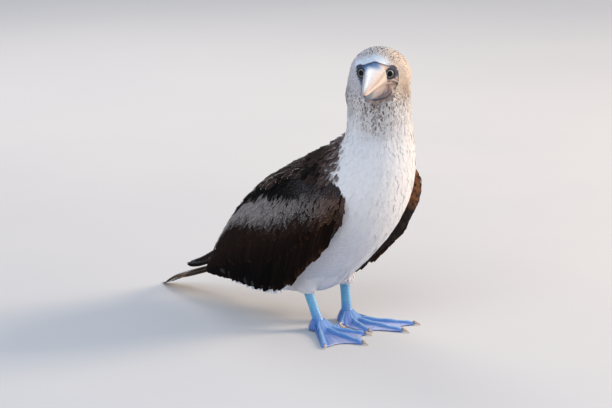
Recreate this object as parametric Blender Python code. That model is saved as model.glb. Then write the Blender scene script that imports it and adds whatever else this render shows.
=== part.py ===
"""A blue-footed booby at rest on both feet, its head turned over its right shoulder, at life size.

Every place below is (ahead, left, up) in millimetres, from the point on the floor midway
between the two toe joints. The bird faces -Y. The head has a frame of its own, (forward,
left, up) from the middle of the skull. At the end the whole bird is moved so that the
origin lies on the floor, under the middle of its box.
"""
import math

import bmesh
import bpy
import numpy as np
from mathutils import Vector

MM = 0.001
GAP = 0.3
ROOM = 0.8

# Trunk and neck: each row joins a point of the back line to a point of the belly line, with
# the half width and the middle's offset between them: back ahead, back up, belly ahead,
# belly up, half width, middle left.
BODY_ROWS = (
    (-180, 60, -174, 42, 11, 0),
    (-162, 93, -142, 36, 26, 0),
    (-134, 138, -103, 33, 40, 0),
    (-99, 170, -56, 33, 53, 0),
    (-62, 192, -8, 44, 60, 0),
    (-24, 212, 28, 70, 63, 0),
    (6, 228, 66, 107, 64, 0),
    (27, 242, 94, 147, 61, 0),
    (38, 254, 112, 188, 51, 0),
    (41, 268, 118, 226, 43.5, -0.5),
    (42, 284, 117, 256, 38.5, -1.5),
    (43, 300, 116, 284, 37.2, -3),
    (46, 318, 115, 308, 37.2, -5),
    (53, 333, 109, 329, 30, -7),
    (64, 342, 97, 341, 18, -9),
)
BODY_SIDES = 22
BODY_RINGS = 27
BODY_FULLNESS = 2.15
NECK_CUT = (76.5, 0, 221)
NECK_CUT_NORMAL = (0.66, 0, 0.75)
HEAD_CUT_UP = 299

# Head: forward, half width, top, bottom, middle left, from the middle of the skull.
HEAD_PLACE = (83, -9.7, 320.5)
HEAD_TURN = math.radians(52.5)
HEAD_LIFT = math.radians(3)
HEAD_ROWS = (
    (-37, 6, 4, -8, 1.5),
    (-33, 17, 17, -18, 1.8),
    (-26, 28.5, 26, -27, 2.1),
    (-17, 34.8, 32, -33, 2.3),
    (-8, 36.8, 34.3, -36, 2.2),
    (2, 34.2, 34.5, -35.5, 1.8),
    (10, 27.6, 32.7, -33, 0.9),
    (17, 20, 29, -29, 0.2),
    (24, 15.8, 24, -24, 0),
    (32, 14.3, 18.5, -19, 0),
)
HEAD_SIDES = 22
HEAD_RINGS = 17
CHEEK_SWELL = 1.05
EYE_PLACE = (15, 13.7, 5.5)
EYE_RADIUS = 8
EYE_SIDES = 14

# Bill: forward, culmen, line of the gape, underside, half width, in the head's frame.
BILL_ROWS = (
    (32.4, 18, -5, -19.5, 13.4),
    (46, 13.2, -4.2, -19.6, 11.9),
    (62, 9.2, -3.8, -18.6, 10.1),
    (80, 6.4, -3.7, -16.8, 8.2),
    (98, 4.2, -3.8, -14.2, 6.3),
    (113, 1.8, -4.3, -11.2, 4.5),
    (124, -1.4, -5, -8.6, 2.5),
    (129, -3.8, -5.2, -6.9, 1),
)
BILL_RINGS = 15
BILL_SIDES = 9
LOWER_BILL_SHRINK = 0.9

# Wing: upper edge (ahead, out, up), then hem (ahead, out, up), from the bend to the rear.
WING_ROWS = (
    (52, 48, 200, 80, 59, 175),
    (39, 45, 209, 80, 65.5, 150),
    (15, 44, 207, 56, 68.5, 118),
    (-20, 41, 196, 22, 68.5, 87),
    (-62, 34, 182, -18, 66.5, 55),
    (-102, 25, 162, -61, 62, 45),
    (-142, 19, 128, -110, 53, 44),
    (-170, 15, 93, -146, 45, 42),
    (-188, 12, 63, -175, 38, 40),
)
# The left wing's bend sits higher: its first rows, in place of the ones above.
LEFT_WING_BEND = (
    (58, 51, 214, 84, 62, 193),
    (40, 46, 213, 83, 68, 163),
)
WING_COLUMNS = 19
WING_LINES = 9
WING_EDGE = 1.3
WING_DEPTH = 8.5
WING_BULGE = 3
WING_SHOULDER = (0.3, 0.8, -0.1)
WING_HANG = (-0.3, 0.45)
WING_THICKNESS_POWERS = (0.7, 0.5)
WING_BLUNT_START = 0.06
# Folded primaries beyond the wing: ahead, out, up, half width, half thickness.
PRIMARY_ROWS = (
    (-118, 33, 86, 8, 2.4),
    (-150, 25, 72, 13, 2.6),
    (-186, 17, 59, 12.5, 2.6),
    (-215, 12.5, 47, 10, 2.1),
    (-236, 9.5, 39.5, 6.5, 1.5),
    (-248, 8, 36, 2.2, 0.8),
)
PRIMARY_TILT = math.radians(38)
PRIMARY_RINGS = 11
PRIMARY_SIDES = 10

# Tail, laid on the floor at its tip: ahead, up, half width, half thickness.
TAIL_ROWS = (
    (-118, 66, 13, 3.6),
    (-160, 51, 17, 3.3),
    (-200, 37, 21.5, 2.7),
    (-235, 24.5, 24, 2.1),
    (-262, 14.5, 21.5, 1.7),
    (-282, 5.8, 15, 1.4),
    (-293, 1.2, 8.5, 1.2),
    (-301, 0.7, 2.2, 1.0),
)
TAIL_RINGS = 13
TAIL_SIDES = 12
# How high the fan is domed, and the half width and height over which that dies out.
TAIL_CAMBER = 4
TAIL_FULL_HALF = 15
TAIL_FULL_UP = 12

# Legs: the feathered thigh's rings (ahead and out of the ankle, up, half length, half width),
# then the bare leg's half sizes from the foot up, the toe joint and the ankle (ahead, out).
THIGH_ROWS = (
    (-13, -2, 92, 18, 16),
    (-10, -2, 78, 24, 20),
    (-7, -1, 63, 21, 17),
    (-4, 0, 53, 16, 13),
    (0, 0, 46, 10.5, 8.5),
)
THIGH_RINGS = 9
THIGH_SIDES = 16
LEG_TOP_UP = 46
LEG_SIZES = ((0, 8.2, 6.4), (0.25, 7.2, 5.4), (0.7, 7, 5.2), (1, 7.8, 6))
LEG_RINGS = 7
LEG_SIDES = 12
FOOT_TOP_UP = 13.5
TOE_JOINT = {"right": (3.5, 28), "left": (-3.5, 28)}
ANKLE = {"right": (-11.5, 33), "left": (-12, 32)}

# Toes: name, length, bearing outward from straight ahead on each foot, in degrees.
TOES = (
    ("outer", 84, {"right": 40, "left": 31}),
    ("middle", 86, {"right": 7, "left": 6}),
    ("inner", 62, {"right": -21, "left": -20}),
    ("hind", 27, {"right": -60, "left": -62}),
)
# A toe narrows to TOE_TAPER of its size and ends in a lower tip. Within TOE_SPREAD_REACH of
# the joint the toes' sides close up.
TOE_HALF_WIDTH = 4.2
TOE_HEIGHT = 7.4
TOE_TAPER = 0.62
TOE_TIP_START = 0.9
TOE_TIP_SIZE = 0.72
TOE_TIP_ROUND = 2.2
TOE_SPREAD_REACH = 26
TOE_SHARES = (-1, -0.62, 0, 0.62, 1)
# The web between the toes lies a little off the floor, and its edge dips in between them.
WEB_BOTTOM = 1
WEB_TOP = 3
WEB_DIP = 0.15
WEB_DIP_POWER = 0.7
WEB_SHARES = (0.2, 0.5, 0.8)
# The foot's round middle under the leg, its heel, and how steeply both fall away.
HUB_RADIUS = 8.4
HEEL_RADIUS = 12
HEEL_TOP = 4.5
HEEL_SHARES = (0.14, 0.28, 0.43, 0.57, 0.72, 0.86)
KNUCKLE_SLOPE = 0.75
HEEL_SLOPE = 2.4
FOOT_ROWS = (0, 0.07, 0.2, 0.4, 0.64, 0.86, 0.96, 1)
SOLE_ROWS = (1, 0.5, 0)
# Claws: how far each reaches past its toe, and the half height of its root.
CLAW_LENGTH = {"outer": 8, "middle": 10, "inner": 8.5, "hind": 7}
CLAW_RADIUS = 2.3
CLAW_POINT = 0.25
CLAW_TAPER_POWER = 0.6
CLAW_NARROWNESS = 0.8
CLAW_RISE = 0.8
CLAW_HOOK = 3
CLAW_OFF_FLOOR = 0.5
CLAW_RINGS = 4
CLAW_SIDES = 7

SHARP_ANGLE = math.radians(50)
# The most that a grown copy's corners may stretch, as a multiple of the growth.
MOST_STRETCH = 5

COLOURS = {
    "head": (0.42, 0.33, 0.25),
    "neck": (0.62, 0.54, 0.46),
    "trunk": (0.86, 0.85, 0.84),
    "thigh": (0.84, 0.84, 0.85),
    "wing": (0.055, 0.036, 0.028),
    "tail": (0.11, 0.075, 0.055),
    "leg": (0.05, 0.32, 0.55),
    "foot": (0.09, 0.28, 0.62),
    "claw": (0.38, 0.36, 0.32),
    "upper_bill": (0.32, 0.37, 0.40),
    "lower_bill": (0.22, 0.28, 0.33),
    "eye": (0.55, 0.50, 0.22),
}
ROUGHNESS = {"claw": 0.35, "upper_bill": 0.4, "lower_bill": 0.4, "eye": 0.08, "leg": 0.5, "foot": 0.5}


def clear_scene():
    for old in list(bpy.data.objects):
        bpy.data.objects.remove(old)


def finish_for(kind):
    """The material of one kind of surface, made once."""
    name = kind + "_finish"
    if name in bpy.data.materials:
        return bpy.data.materials[name]
    finish = bpy.data.materials.new(name)
    finish.use_nodes = True
    shader = finish.node_tree.nodes["Principled BSDF"]
    shader.inputs["Base Color"].default_value = (*COLOURS[kind], 1)
    shader.inputs["Roughness"].default_value = ROUGHNESS.get(kind, 0.75)
    shader.inputs["Metallic"].default_value = 0
    return finish


def world(points):
    """(ahead, left, up) in millimetres to the scene's metres."""
    points = np.asarray(points, float).reshape(-1, 3)
    return np.column_stack([points[:, 1], -points[:, 0], points[:, 2]]) * MM


def from_head(points):
    """The head's (forward, left, up) to the bird's (ahead, left, up)."""
    points = np.asarray(points, float).reshape(-1, 3)
    level = points[:, 0] * math.cos(HEAD_LIFT) - points[:, 2] * math.sin(HEAD_LIFT)
    up = points[:, 0] * math.sin(HEAD_LIFT) + points[:, 2] * math.cos(HEAD_LIFT)
    ahead = level * math.cos(HEAD_TURN) + points[:, 1] * math.sin(HEAD_TURN)
    left = -level * math.sin(HEAD_TURN) + points[:, 1] * math.cos(HEAD_TURN)
    return np.column_stack([ahead, left, up]) + HEAD_PLACE


def smooth_rows(rows, count):
    """Rows read at even steps from a smooth curve that passes through all the given ones."""
    rows = np.asarray(rows, float)
    padded = np.vstack([2 * rows[0] - rows[1], rows, 2 * rows[-1] - rows[-2]])
    out = []
    for step in np.linspace(0, len(rows) - 1, count):
        first = min(int(step), len(rows) - 2)
        t = step - first
        a, b, c, d = padded[first:first + 4]
        out.append(0.5 * (2 * b + (c - a) * t + (2 * a - 5 * b + 4 * c - d) * t ** 2
                          + (3 * b - a - 3 * c + d) * t ** 3))
    return np.array(out)


def rounded(angle, fullness):
    """The sine of an angle, swelled from a round section towards a boxy one."""
    wave = math.sin(angle)
    return math.copysign(abs(wave) ** (2 / fullness), wave)


def make_object(name, kind, mesh_maker):
    """A named object whose mesh the maker fills in, with its faces pointing out."""
    mesh = bpy.data.meshes.new(name)
    shape = bmesh.new()
    mesh_maker(shape)
    bmesh.ops.remove_doubles(shape, verts=shape.verts, dist=0.00001)
    bmesh.ops.recalc_face_normals(shape, faces=shape.faces)
    shape.to_mesh(mesh)
    shape.free()
    mesh.materials.append(finish_for(kind))
    mesh.shade_smooth()
    piece = bpy.data.objects.new(name, mesh)
    bpy.context.collection.objects.link(piece)
    return piece


def skin_rings(shape, rings):
    """Joins closed rings of points, each ring in world metres, and caps both ends."""
    loops = [[shape.verts.new(point) for point in ring] for ring in rings]
    for near, far in zip(loops, loops[1:]):
        for k in range(len(near)):
            nxt = (k + 1) % len(near)
            shape.faces.new((near[k], near[nxt], far[nxt], far[k]))
    shape.faces.new(loops[0][::-1])
    shape.faces.new(loops[-1])


def loft(name, kind, rings):
    return make_object(name, kind, lambda shape: skin_rings(shape, rings))


def settle(piece):
    """Replaces a piece's mesh with the result of its modifiers."""
    view = bpy.context.evaluated_depsgraph_get()
    view.update()
    result = bpy.data.meshes.new_from_object(piece.evaluated_get(view))
    piece.modifiers.clear()
    piece.data = result


def combine(piece, other, operation):
    """Adds or cuts another piece, which is then gone."""
    change = piece.modifiers.new(operation.lower(), "BOOLEAN")
    change.operation = operation
    change.solver = "EXACT"
    change.object = other
    settle(piece)
    bpy.data.objects.remove(other)


def grown_copy(piece, distance):
    """A copy whose faces all lie the given distance further out."""
    copy = bpy.data.objects.new(piece.name + "_grown", piece.data.copy())
    bpy.context.collection.objects.link(copy)
    shape = bmesh.new()
    shape.from_mesh(copy.data)
    bmesh.ops.triangulate(shape, faces=shape.faces)
    shape.normal_update()
    moves = [v.normal * distance * min(v.calc_shell_factor(), MOST_STRETCH) * MM for v in shape.verts]
    for vertex, move in zip(shape.verts, moves):
        vertex.co += move
    shape.to_mesh(copy.data)
    shape.free()
    return copy


def keep_largest(piece):
    """Drops the loose slivers that a cut leaves."""
    shape = bmesh.new()
    shape.from_mesh(piece.data)
    waiting = set(shape.verts)
    groups = []
    while waiting:
        group = set()
        edge = [waiting.pop()]
        while edge:
            vertex = edge.pop()
            group.add(vertex)
            for link in vertex.link_edges:
                other = link.other_vert(vertex)
                if other in waiting:
                    waiting.discard(other)
                    edge.append(other)
        groups.append(group)
    largest = max(groups, key=len)
    bmesh.ops.delete(shape, geom=[v for v in shape.verts if v not in largest], context="VERTS")
    shape.to_mesh(piece.data)
    shape.free()


def make_room(piece, others):
    """Cuts a piece back, so that it keeps its gap to each of the others."""
    for other in others:
        combine(piece, grown_copy(other, ROOM), "DIFFERENCE")
    keep_largest(piece)


def part_off(piece, name, kind, place, normal):
    """Cuts a piece in two along a plane. The side that the normal points to gets the new name."""
    point = Vector(world([place])[0])
    ahead, left, up = normal
    direction = Vector((left, -ahead, up)).normalized()
    beyond = bpy.data.objects.new(name, piece.data.copy())
    bpy.context.collection.objects.link(beyond)
    for half, sign in ((piece, -1), (beyond, 1)):
        shape = bmesh.new()
        shape.from_mesh(half.data)
        cut = bmesh.ops.bisect_plane(
            shape, geom=[*shape.verts, *shape.edges, *shape.faces],
            plane_co=point + direction * sign * GAP * 0.5 * MM, plane_no=direction * sign,
            clear_inner=True)
        rim = [e for e in cut["geom_cut"] if isinstance(e, bmesh.types.BMEdge)]
        bmesh.ops.holes_fill(shape, edges=rim, sides=0)
        bmesh.ops.recalc_face_normals(shape, faces=shape.faces)
        shape.to_mesh(half.data)
        shape.free()
    beyond.data.materials.clear()
    beyond.data.materials.append(finish_for(kind))
    return beyond


def make_body():
    """Trunk and neck in one, from the rump to inside the head."""
    rings = []
    for back_x, back_z, belly_x, belly_z, half, side in smooth_rows(BODY_ROWS, BODY_RINGS):
        ring = []
        for k in range(BODY_SIDES):
            angle = 2 * math.pi * k / BODY_SIDES
            toward_back = rounded(angle + math.pi / 2, BODY_FULLNESS)
            ring.append((
                (back_x + belly_x) / 2 + toward_back * (back_x - belly_x) / 2,
                side + half * rounded(angle, BODY_FULLNESS),
                (back_z + belly_z) / 2 + toward_back * (back_z - belly_z) / 2))
        rings.append(world(ring))
    return loft("trunk", "trunk", rings)


def make_skull():
    """The feathered head, up to the base of the bill."""
    rings = []
    for forward, half, top, bottom, middle in smooth_rows(HEAD_ROWS, HEAD_RINGS):
        ring = []
        for k in range(HEAD_SIDES):
            angle = 2 * math.pi * k / HEAD_SIDES
            height = math.cos(angle)
            cheek = 1 + (CHEEK_SWELL - 1) * max(0, -height)
            ring.append((forward, middle + half * cheek * math.sin(angle),
                         height * (top if height > 0 else -bottom)))
        rings.append(world(from_head(ring)))
    return loft("skull", "head", rings)


def make_eye(side, sign):
    place = world(from_head([(EYE_PLACE[0], sign * EYE_PLACE[1], EYE_PLACE[2])]))[0]

    def ball(shape):
        bmesh.ops.create_uvsphere(shape, u_segments=EYE_SIDES, v_segments=EYE_SIDES // 2 + 1,
                                  radius=EYE_RADIUS * MM)
        bmesh.ops.translate(shape, verts=shape.verts, vec=place)

    return make_object("eye_" + side, "eye", ball)


def make_bill(name, kind, upper):
    """One mandible: an arch from the gape line out to the culmen or the underside."""
    rings = []
    for forward, culmen, gape, under, half in smooth_rows(BILL_ROWS, BILL_RINGS):
        outer = culmen if upper else under
        inner = gape + GAP / 2 if upper else gape - GAP / 2
        wide = half if upper else half * LOWER_BILL_SHRINK
        ring = []
        for k in range(BILL_SIDES):
            angle = math.pi * k / (BILL_SIDES - 1)
            ring.append((forward, wide * math.cos(angle), inner + (outer - inner) * math.sin(angle)))
        rings.append(world(from_head(ring)))
    return loft(name, kind, rings)


def make_primaries(side, sign):
    """The folded flight feathers that pass beyond the wing, as one flat blade."""
    rings = []
    for ahead, out, up, half, thick in smooth_rows(PRIMARY_ROWS, PRIMARY_RINGS):
        ring = []
        for k in range(PRIMARY_SIDES):
            angle = 2 * math.pi * k / PRIMARY_SIDES
            across = half * math.cos(angle)
            through = thick * math.sin(angle)
            ring.append((
                ahead,
                sign * (out + across * math.cos(PRIMARY_TILT) + through * math.sin(PRIMARY_TILT)),
                up - across * math.sin(PRIMARY_TILT) + through * math.cos(PRIMARY_TILT)))
        rings.append(world(ring))
    return loft("primaries_" + side, "wing", rings)


def wing_surface(sign):
    """The outer face of a wing as a grid of points, out being positive on either side."""
    grid = []
    rows = WING_ROWS if sign < 0 else LEFT_WING_BEND + WING_ROWS[len(LEFT_WING_BEND):]
    for row in smooth_rows(rows, WING_COLUMNS):
        top = row[:3]
        hem = row[3:]
        drop = top[2] - hem[2]
        span = hem - top
        shoulder = top + (span[0] * WING_SHOULDER[0], span[1] * WING_SHOULDER[1],
                          drop * WING_SHOULDER[2])
        hang = hem + (span[0] * WING_HANG[0], WING_BULGE, drop * WING_HANG[1])
        line = []
        for t in np.linspace(0, 1, WING_LINES):
            line.append(top * (1 - t) ** 3 + shoulder * 3 * t * (1 - t) ** 2
                        + hang * 3 * t ** 2 * (1 - t) + hem * t ** 3)
        grid.append(line)
    return np.array(grid)


def make_wing(side, sign):
    """A folded wing: a curved plate, thick along its middle and thin round its edges."""
    outer = wing_surface(sign)
    along = np.gradient(outer, axis=0)
    down = np.gradient(outer, axis=1)
    normals = np.cross(along, down)
    normals /= np.linalg.norm(normals, axis=2)[..., None]
    if normals[WING_COLUMNS // 2, WING_LINES // 2, 1] < 0:
        normals = -normals
    across = np.sin(np.pi * np.linspace(0, 1, WING_LINES)).clip(0) ** WING_THICKNESS_POWERS[0]
    ends = (np.sin(np.pi * np.linspace(WING_BLUNT_START, 1, WING_COLUMNS)).clip(0)
            ** WING_THICKNESS_POWERS[1])
    depth = WING_EDGE + (WING_DEPTH - WING_EDGE) * ends[:, None] * across[None, :]
    inner = outer - normals * depth[..., None]
    flip = np.array([1, sign, 1])

    def plate(shape):
        faces = []
        for points in (outer, inner):
            faces.append([[shape.verts.new(world([point * flip])[0]) for point in line]
                          for line in points])
        front, back = faces
        last = WING_COLUMNS - 1
        for i in range(last):
            for j in range(WING_LINES - 1):
                for sheet in faces:
                    shape.faces.new((sheet[i][j], sheet[i + 1][j],
                                     sheet[i + 1][j + 1], sheet[i][j + 1]))
            for j in (0, WING_LINES - 1):
                shape.faces.new((front[i][j], front[i + 1][j], back[i + 1][j], back[i][j]))
        for j in range(WING_LINES - 1):
            for i in (0, last):
                shape.faces.new((front[i][j], front[i][j + 1], back[i][j + 1], back[i][j]))

    return make_object("wing_" + side, "wing", plate)


def make_tail():
    """The closed fan, domed across, with its last stretch lying on the floor."""
    rings = []
    for ahead, up, half, thick in smooth_rows(TAIL_ROWS, TAIL_RINGS):
        ring = []
        for k in range(TAIL_SIDES):
            angle = 2 * math.pi * k / TAIL_SIDES
            across = math.cos(angle)
            dome = (TAIL_CAMBER * min(1, half / TAIL_FULL_HALF) * (1 - across ** 2)
                    * min(1, up / TAIL_FULL_UP))
            height = max(0, up + dome + thick * math.sin(angle))
            ring.append((ahead, half * across, height))
        rings.append(world(ring))
    return loft("tail", "tail", rings)


def make_thigh(side, sign):
    """The feathered thigh, whose lower end is the feather line above the bare leg."""
    rings = []
    for ahead, out, up, long, wide in smooth_rows(THIGH_ROWS, THIGH_RINGS):
        ring = []
        for k in range(THIGH_SIDES):
            angle = 2 * math.pi * k / THIGH_SIDES
            ring.append((ANKLE[side][0] + ahead + long * math.cos(angle),
                         sign * (ANKLE[side][1] + out) + wide * math.sin(angle), up))
        rings.append(world(ring))
    return loft("thigh_" + side, "thigh", rings)


def make_leg(side, sign):
    """The bare leg, from the feather line down to the foot."""
    top = np.array([ANKLE[side][0], sign * ANKLE[side][1], LEG_TOP_UP - GAP])
    foot = np.array([TOE_JOINT[side][0], sign * TOE_JOINT[side][1], FOOT_TOP_UP + GAP])
    rings = []
    for t, long, wide in smooth_rows(LEG_SIZES, LEG_RINGS):
        middle = foot + (top - foot) * t
        rings.append(world([
            middle + (long * math.cos(a), wide * math.sin(a), 0)
            for a in np.linspace(0, 2 * math.pi, LEG_SIDES, endpoint=False)]))
    return loft("tarsus_" + side, "leg", rings)


def toe_ray(side, sign, bearing):
    """Start of a toe and its level direction."""
    turn = math.radians(bearing)
    start = np.array([TOE_JOINT[side][0], sign * TOE_JOINT[side][1], 0])
    return start, np.array([math.cos(turn), sign * math.sin(turn), 0])


def foot_columns(side):
    """Spokes round one foot: (kind, first toe, second toe, share), from the outer toe to the heel."""
    columns = []
    for k in range(len(TOES)):
        columns += [("toe", k, k, share) for share in TOE_SHARES]
        if k + 1 < len(TOES):
            columns += [("web", k, k + 1, share) for share in WEB_SHARES]
    return columns + [("heel", len(TOES) - 1, 0, share) for share in HEEL_SHARES]


def toe_edge(side, toe, reach, share):
    """Bearing of a point at some share of a toe's width, closing up near the joint."""
    bearing = math.radians(TOES[toe][2][side])
    return bearing - math.atan2(share * TOE_HALF_WIDTH, reach) * min(1, reach / TOE_SPREAD_REACH)


def foot_point(side, column, along):
    """Bearing, reach, top height and sole height at one place of a foot."""
    kind, first, second, share = column
    length = TOES[first][1]
    length_2 = TOES[second][1]
    hub = HUB_RADIUS
    if kind == "toe":
        tip = length - TOE_TIP_ROUND * share ** 2
        reach = hub + (tip - hub) * along
        bearing = toe_edge(side, first, reach, share)
        size = (1 - (1 - TOE_TAPER) * along) * (1 if along < TOE_TIP_START else TOE_TIP_SIZE)
        back = TOE_HEIGHT * size * math.sqrt(max(0, 1 - share ** 2))
        top = max(WEB_TOP, back)
        sole = 0 if abs(share) < 1 else WEB_BOTTOM
    elif kind == "web":
        dip = WEB_DIP * math.sin(math.pi * share) ** WEB_DIP_POWER
        tip = (length * (1 - share) + length_2 * share) * (1 - dip)
        reach = hub + (tip - hub) * along
        bearing = (toe_edge(side, first, reach, 1) * (1 - share)
                   + toe_edge(side, second, reach, -1) * share)
        top = WEB_TOP
        sole = WEB_BOTTOM
    else:
        reach = hub + (HEEL_RADIUS - hub) * along
        start = toe_edge(side, first, reach, 1)
        end = toe_edge(side, second, reach, -1) - 2 * math.pi
        bearing = start * (1 - share) + end * share
        top = HEEL_TOP
        sole = WEB_BOTTOM
    slope = HEEL_SLOPE if kind == "heel" else KNUCKLE_SLOPE
    knuckle = FOOT_TOP_UP - (reach - hub) * slope
    return bearing, reach, max(top, knuckle), sole


def make_foot(side, sign):
    """A webbed foot: four toes with flat soles, the web between them and the knuckle on top."""
    x, y = TOE_JOINT[side]
    columns = foot_columns(side)

    def ring(along, on_top):
        points = []
        for column in columns:
            bearing, reach, top, sole = foot_point(side, column, along)
            points.append((x + reach * math.cos(bearing), sign * (y + reach * math.sin(bearing)),
                           top if on_top else sole))
        return world(points)

    rings = [ring(along, True) for along in FOOT_ROWS]
    rings += [ring(along, False) for along in SOLE_ROWS]
    return loft("foot_" + side, "foot", rings)


def make_claw(side, sign, toe, length, bearing):
    """A short hooked claw that starts just beyond its toe."""
    start, way = toe_ray(side, sign, bearing)
    across = np.array([-way[1], way[0], 0])
    base = start + way * (length + GAP) + np.array([0, 0, CLAW_RADIUS + CLAW_OFF_FLOOR])
    rings = []
    for t in np.linspace(0, 1, CLAW_RINGS):
        radius = CLAW_RADIUS * (1 - t) ** CLAW_TAPER_POWER + CLAW_POINT
        bend = np.array([0, 0, CLAW_RISE * t - CLAW_HOOK * t ** 2])
        middle = base + way * CLAW_LENGTH[toe] * t + bend
        rings.append(world([
            middle + across * radius * CLAW_NARROWNESS * math.cos(a)
            + np.array([0, 0, radius * math.sin(a)])
            for a in np.linspace(0, 2 * math.pi, CLAW_SIDES, endpoint=False)]))
    return loft("claw_" + toe + "_" + side, "claw", rings)


def stand_on_origin(pieces):
    """Moves everything so that the origin is on the floor, under the middle of the box."""
    points = np.array([v.co for piece in pieces for v in piece.data.vertices])
    low = points.min(axis=0)
    high = points.max(axis=0)
    shift = Vector((-(low[0] + high[0]) / 2, -(low[1] + high[1]) / 2, -low[2]))
    for piece in pieces:
        for vertex in piece.data.vertices:
            vertex.co += shift


def build():
    clear_scene()
    trunk = make_body()
    combine(trunk, make_skull(), "UNION")
    neck = part_off(trunk, "neck", "neck", NECK_CUT, NECK_CUT_NORMAL)
    head = part_off(neck, "head", "head", (0, 0, HEAD_CUT_UP), (0, 0, 1))
    tail = make_tail()
    eyes = []
    wings = []
    primaries = []
    thighs = []
    others = []
    for side, sign in (("right", -1), ("left", 1)):
        eyes.append(make_eye(side, sign))
        wings.append(make_wing(side, sign))
        primaries.append(make_primaries(side, sign))
        thighs.append(make_thigh(side, sign))
        others.append(make_leg(side, sign))
        others.append(make_foot(side, sign))
        for toe, length, bearing in TOES:
            others.append(make_claw(side, sign, toe, length, bearing[side]))
    others.append(make_bill("bill_upper", "upper_bill", True))
    others.append(make_bill("bill_lower", "lower_bill", False))
    make_room(head, eyes)
    make_room(trunk, [*wings, *primaries, *thighs, tail])
    for wing, blade in zip(wings, primaries):
        combine(wing, blade, "UNION")
    pieces = [trunk, neck, head, tail, *eyes, *wings, *thighs, *others]
    stand_on_origin(pieces)
    for piece in pieces:
        piece.data.shade_smooth()
        piece.data.set_sharp_from_angle(angle=SHARP_ANGLE)


build()
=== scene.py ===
"""A blue footed booby, life size and still: skin, coat of feathers, bill, eyes, claws and bare feet."""

import math

import bmesh
import bpy
import numpy as np
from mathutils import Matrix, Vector
from mathutils.bvhtree import BVHTree
from mathutils.kdtree import KDTree


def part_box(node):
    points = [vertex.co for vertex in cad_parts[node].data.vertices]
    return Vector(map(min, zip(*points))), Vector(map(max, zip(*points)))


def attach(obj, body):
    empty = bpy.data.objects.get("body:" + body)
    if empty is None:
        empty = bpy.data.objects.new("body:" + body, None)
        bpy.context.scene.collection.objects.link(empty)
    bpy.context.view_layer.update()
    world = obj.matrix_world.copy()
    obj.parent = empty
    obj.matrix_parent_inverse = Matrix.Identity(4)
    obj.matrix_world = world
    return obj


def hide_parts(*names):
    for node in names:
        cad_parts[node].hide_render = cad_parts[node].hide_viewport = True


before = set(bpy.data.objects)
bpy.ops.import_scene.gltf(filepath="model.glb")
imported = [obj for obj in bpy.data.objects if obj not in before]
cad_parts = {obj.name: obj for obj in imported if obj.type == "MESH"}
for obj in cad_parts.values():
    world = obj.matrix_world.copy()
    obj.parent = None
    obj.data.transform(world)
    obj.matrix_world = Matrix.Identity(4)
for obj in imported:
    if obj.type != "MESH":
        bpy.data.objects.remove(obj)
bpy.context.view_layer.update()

# Sizes are in millimetres, in the bird's own directions: ahead, left and up from the floor between its feet.
MM = 0.001
SEED = 7

HEAD_PLACE = (83, -9.7, 320.5)
HEAD_TURN = math.radians(52.5)
HEAD_LIFT = math.radians(3)
EYE_PLACE = (15, 13.7, 5.5)
EYE_TURN = math.radians(37)
IRIS_TURN = math.radians(-9)

# Each row: where the ring starts on the back (ahead, up), where it ends on the belly, half width, middle.
BODY_ROWS = (
    (-180, 60, -174, 42, 11, 0), (-162, 93, -142, 36, 26, 0), (-134, 138, -103, 33, 40, 0),
    (-99, 170, -56, 33, 53, 0), (-62, 192, -8, 44, 60, 0), (-24, 212, 28, 70, 63, 0),
    (6, 228, 66, 107, 64, 0), (27, 242, 94, 147, 61, 0), (38, 254, 112, 188, 51, 0),
    (41, 268, 118, 226, 43.5, -0.5), (42, 284, 117, 256, 38.5, -1.5), (43, 300, 116, 284, 37.2, -3),
    (46, 318, 115, 308, 37.2, -5), (53, 333, 109, 329, 30, -7), (64, 342, 97, 341, 18, -9),
)
BILL_ROWS = (
    (27, 16.6, -4.6, -20, 13.9), (32.4, 15.7, -4.4, -19.8, 13.5), (46, 13, -4, -19.6, 12.1),
    (62, 9.4, -3.7, -18.6, 10.3), (80, 6.6, -3.6, -16.8, 8.4), (98, 4.3, -3.8, -14.2, 6.4),
    (113, 1.8, -4.3, -11.2, 4.6), (124, -1.4, -5, -8.6, 2.6), (129, -3.8, -5.2, -6.9, 1),
)
WING_ROWS = (
    (52, 48, 200, 80, 59, 175), (39, 45, 209, 80, 65.5, 150), (15, 44, 207, 56, 68.5, 118),
    (-20, 41, 196, 22, 68.5, 87), (-62, 34, 182, -18, 66.5, 55), (-102, 25, 162, -61, 62, 45),
    (-142, 19, 128, -110, 53, 44), (-170, 15, 93, -146, 45, 42), (-188, 12, 63, -175, 38, 40),
)
# The left wing's bend sits higher: its first rows, in place of the ones above.
LEFT_WING_BEND = ((58, 51, 214, 84, 62, 193), (40, 46, 213, 83, 68, 163))
PRIMARY_ROWS = (
    (-118, 33, 86, 8, 2.4), (-150, 25, 72, 13, 2.6), (-186, 17, 59, 12.5, 2.6), (-215, 12.5, 47, 10, 2.1),
    (-236, 9.5, 39.5, 6.5, 1.5), (-248, 8, 36, 2.2, 0.8),
)
PRIMARY_TILT = math.radians(38)
TAIL_ROWS = (
    (-118, 66, 13, 3.6), (-160, 51, 17, 3.3), (-200, 37, 21.5, 2.7), (-235, 24.5, 24, 2.1),
    (-262, 14.5, 21.5, 1.7), (-282, 5.8, 15, 1.4), (-293, 1.2, 8.5, 1.2), (-301, 0.7, 2.2, 1.0),
)
LEG_TOP_UP = 46
LEG_SIZES = ((0, 8.2, 6.4), (0.25, 7.2, 5.4), (0.7, 7, 5.2), (1, 7.8, 6))
FOOT_TOP_UP = 13.5
TOE_JOINT = {"right": (3.5, 28), "left": (-3.5, 28)}
ANKLE = {"right": (-11.5, 33), "left": (-12, 32)}
TOES = (
    ("outer", 84, {"right": 40, "left": 31}), ("middle", 86, {"right": 7, "left": 6}),
    ("inner", 62, {"right": -21, "left": -20}), ("hind", 27, {"right": -60, "left": -62}),
)
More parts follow.
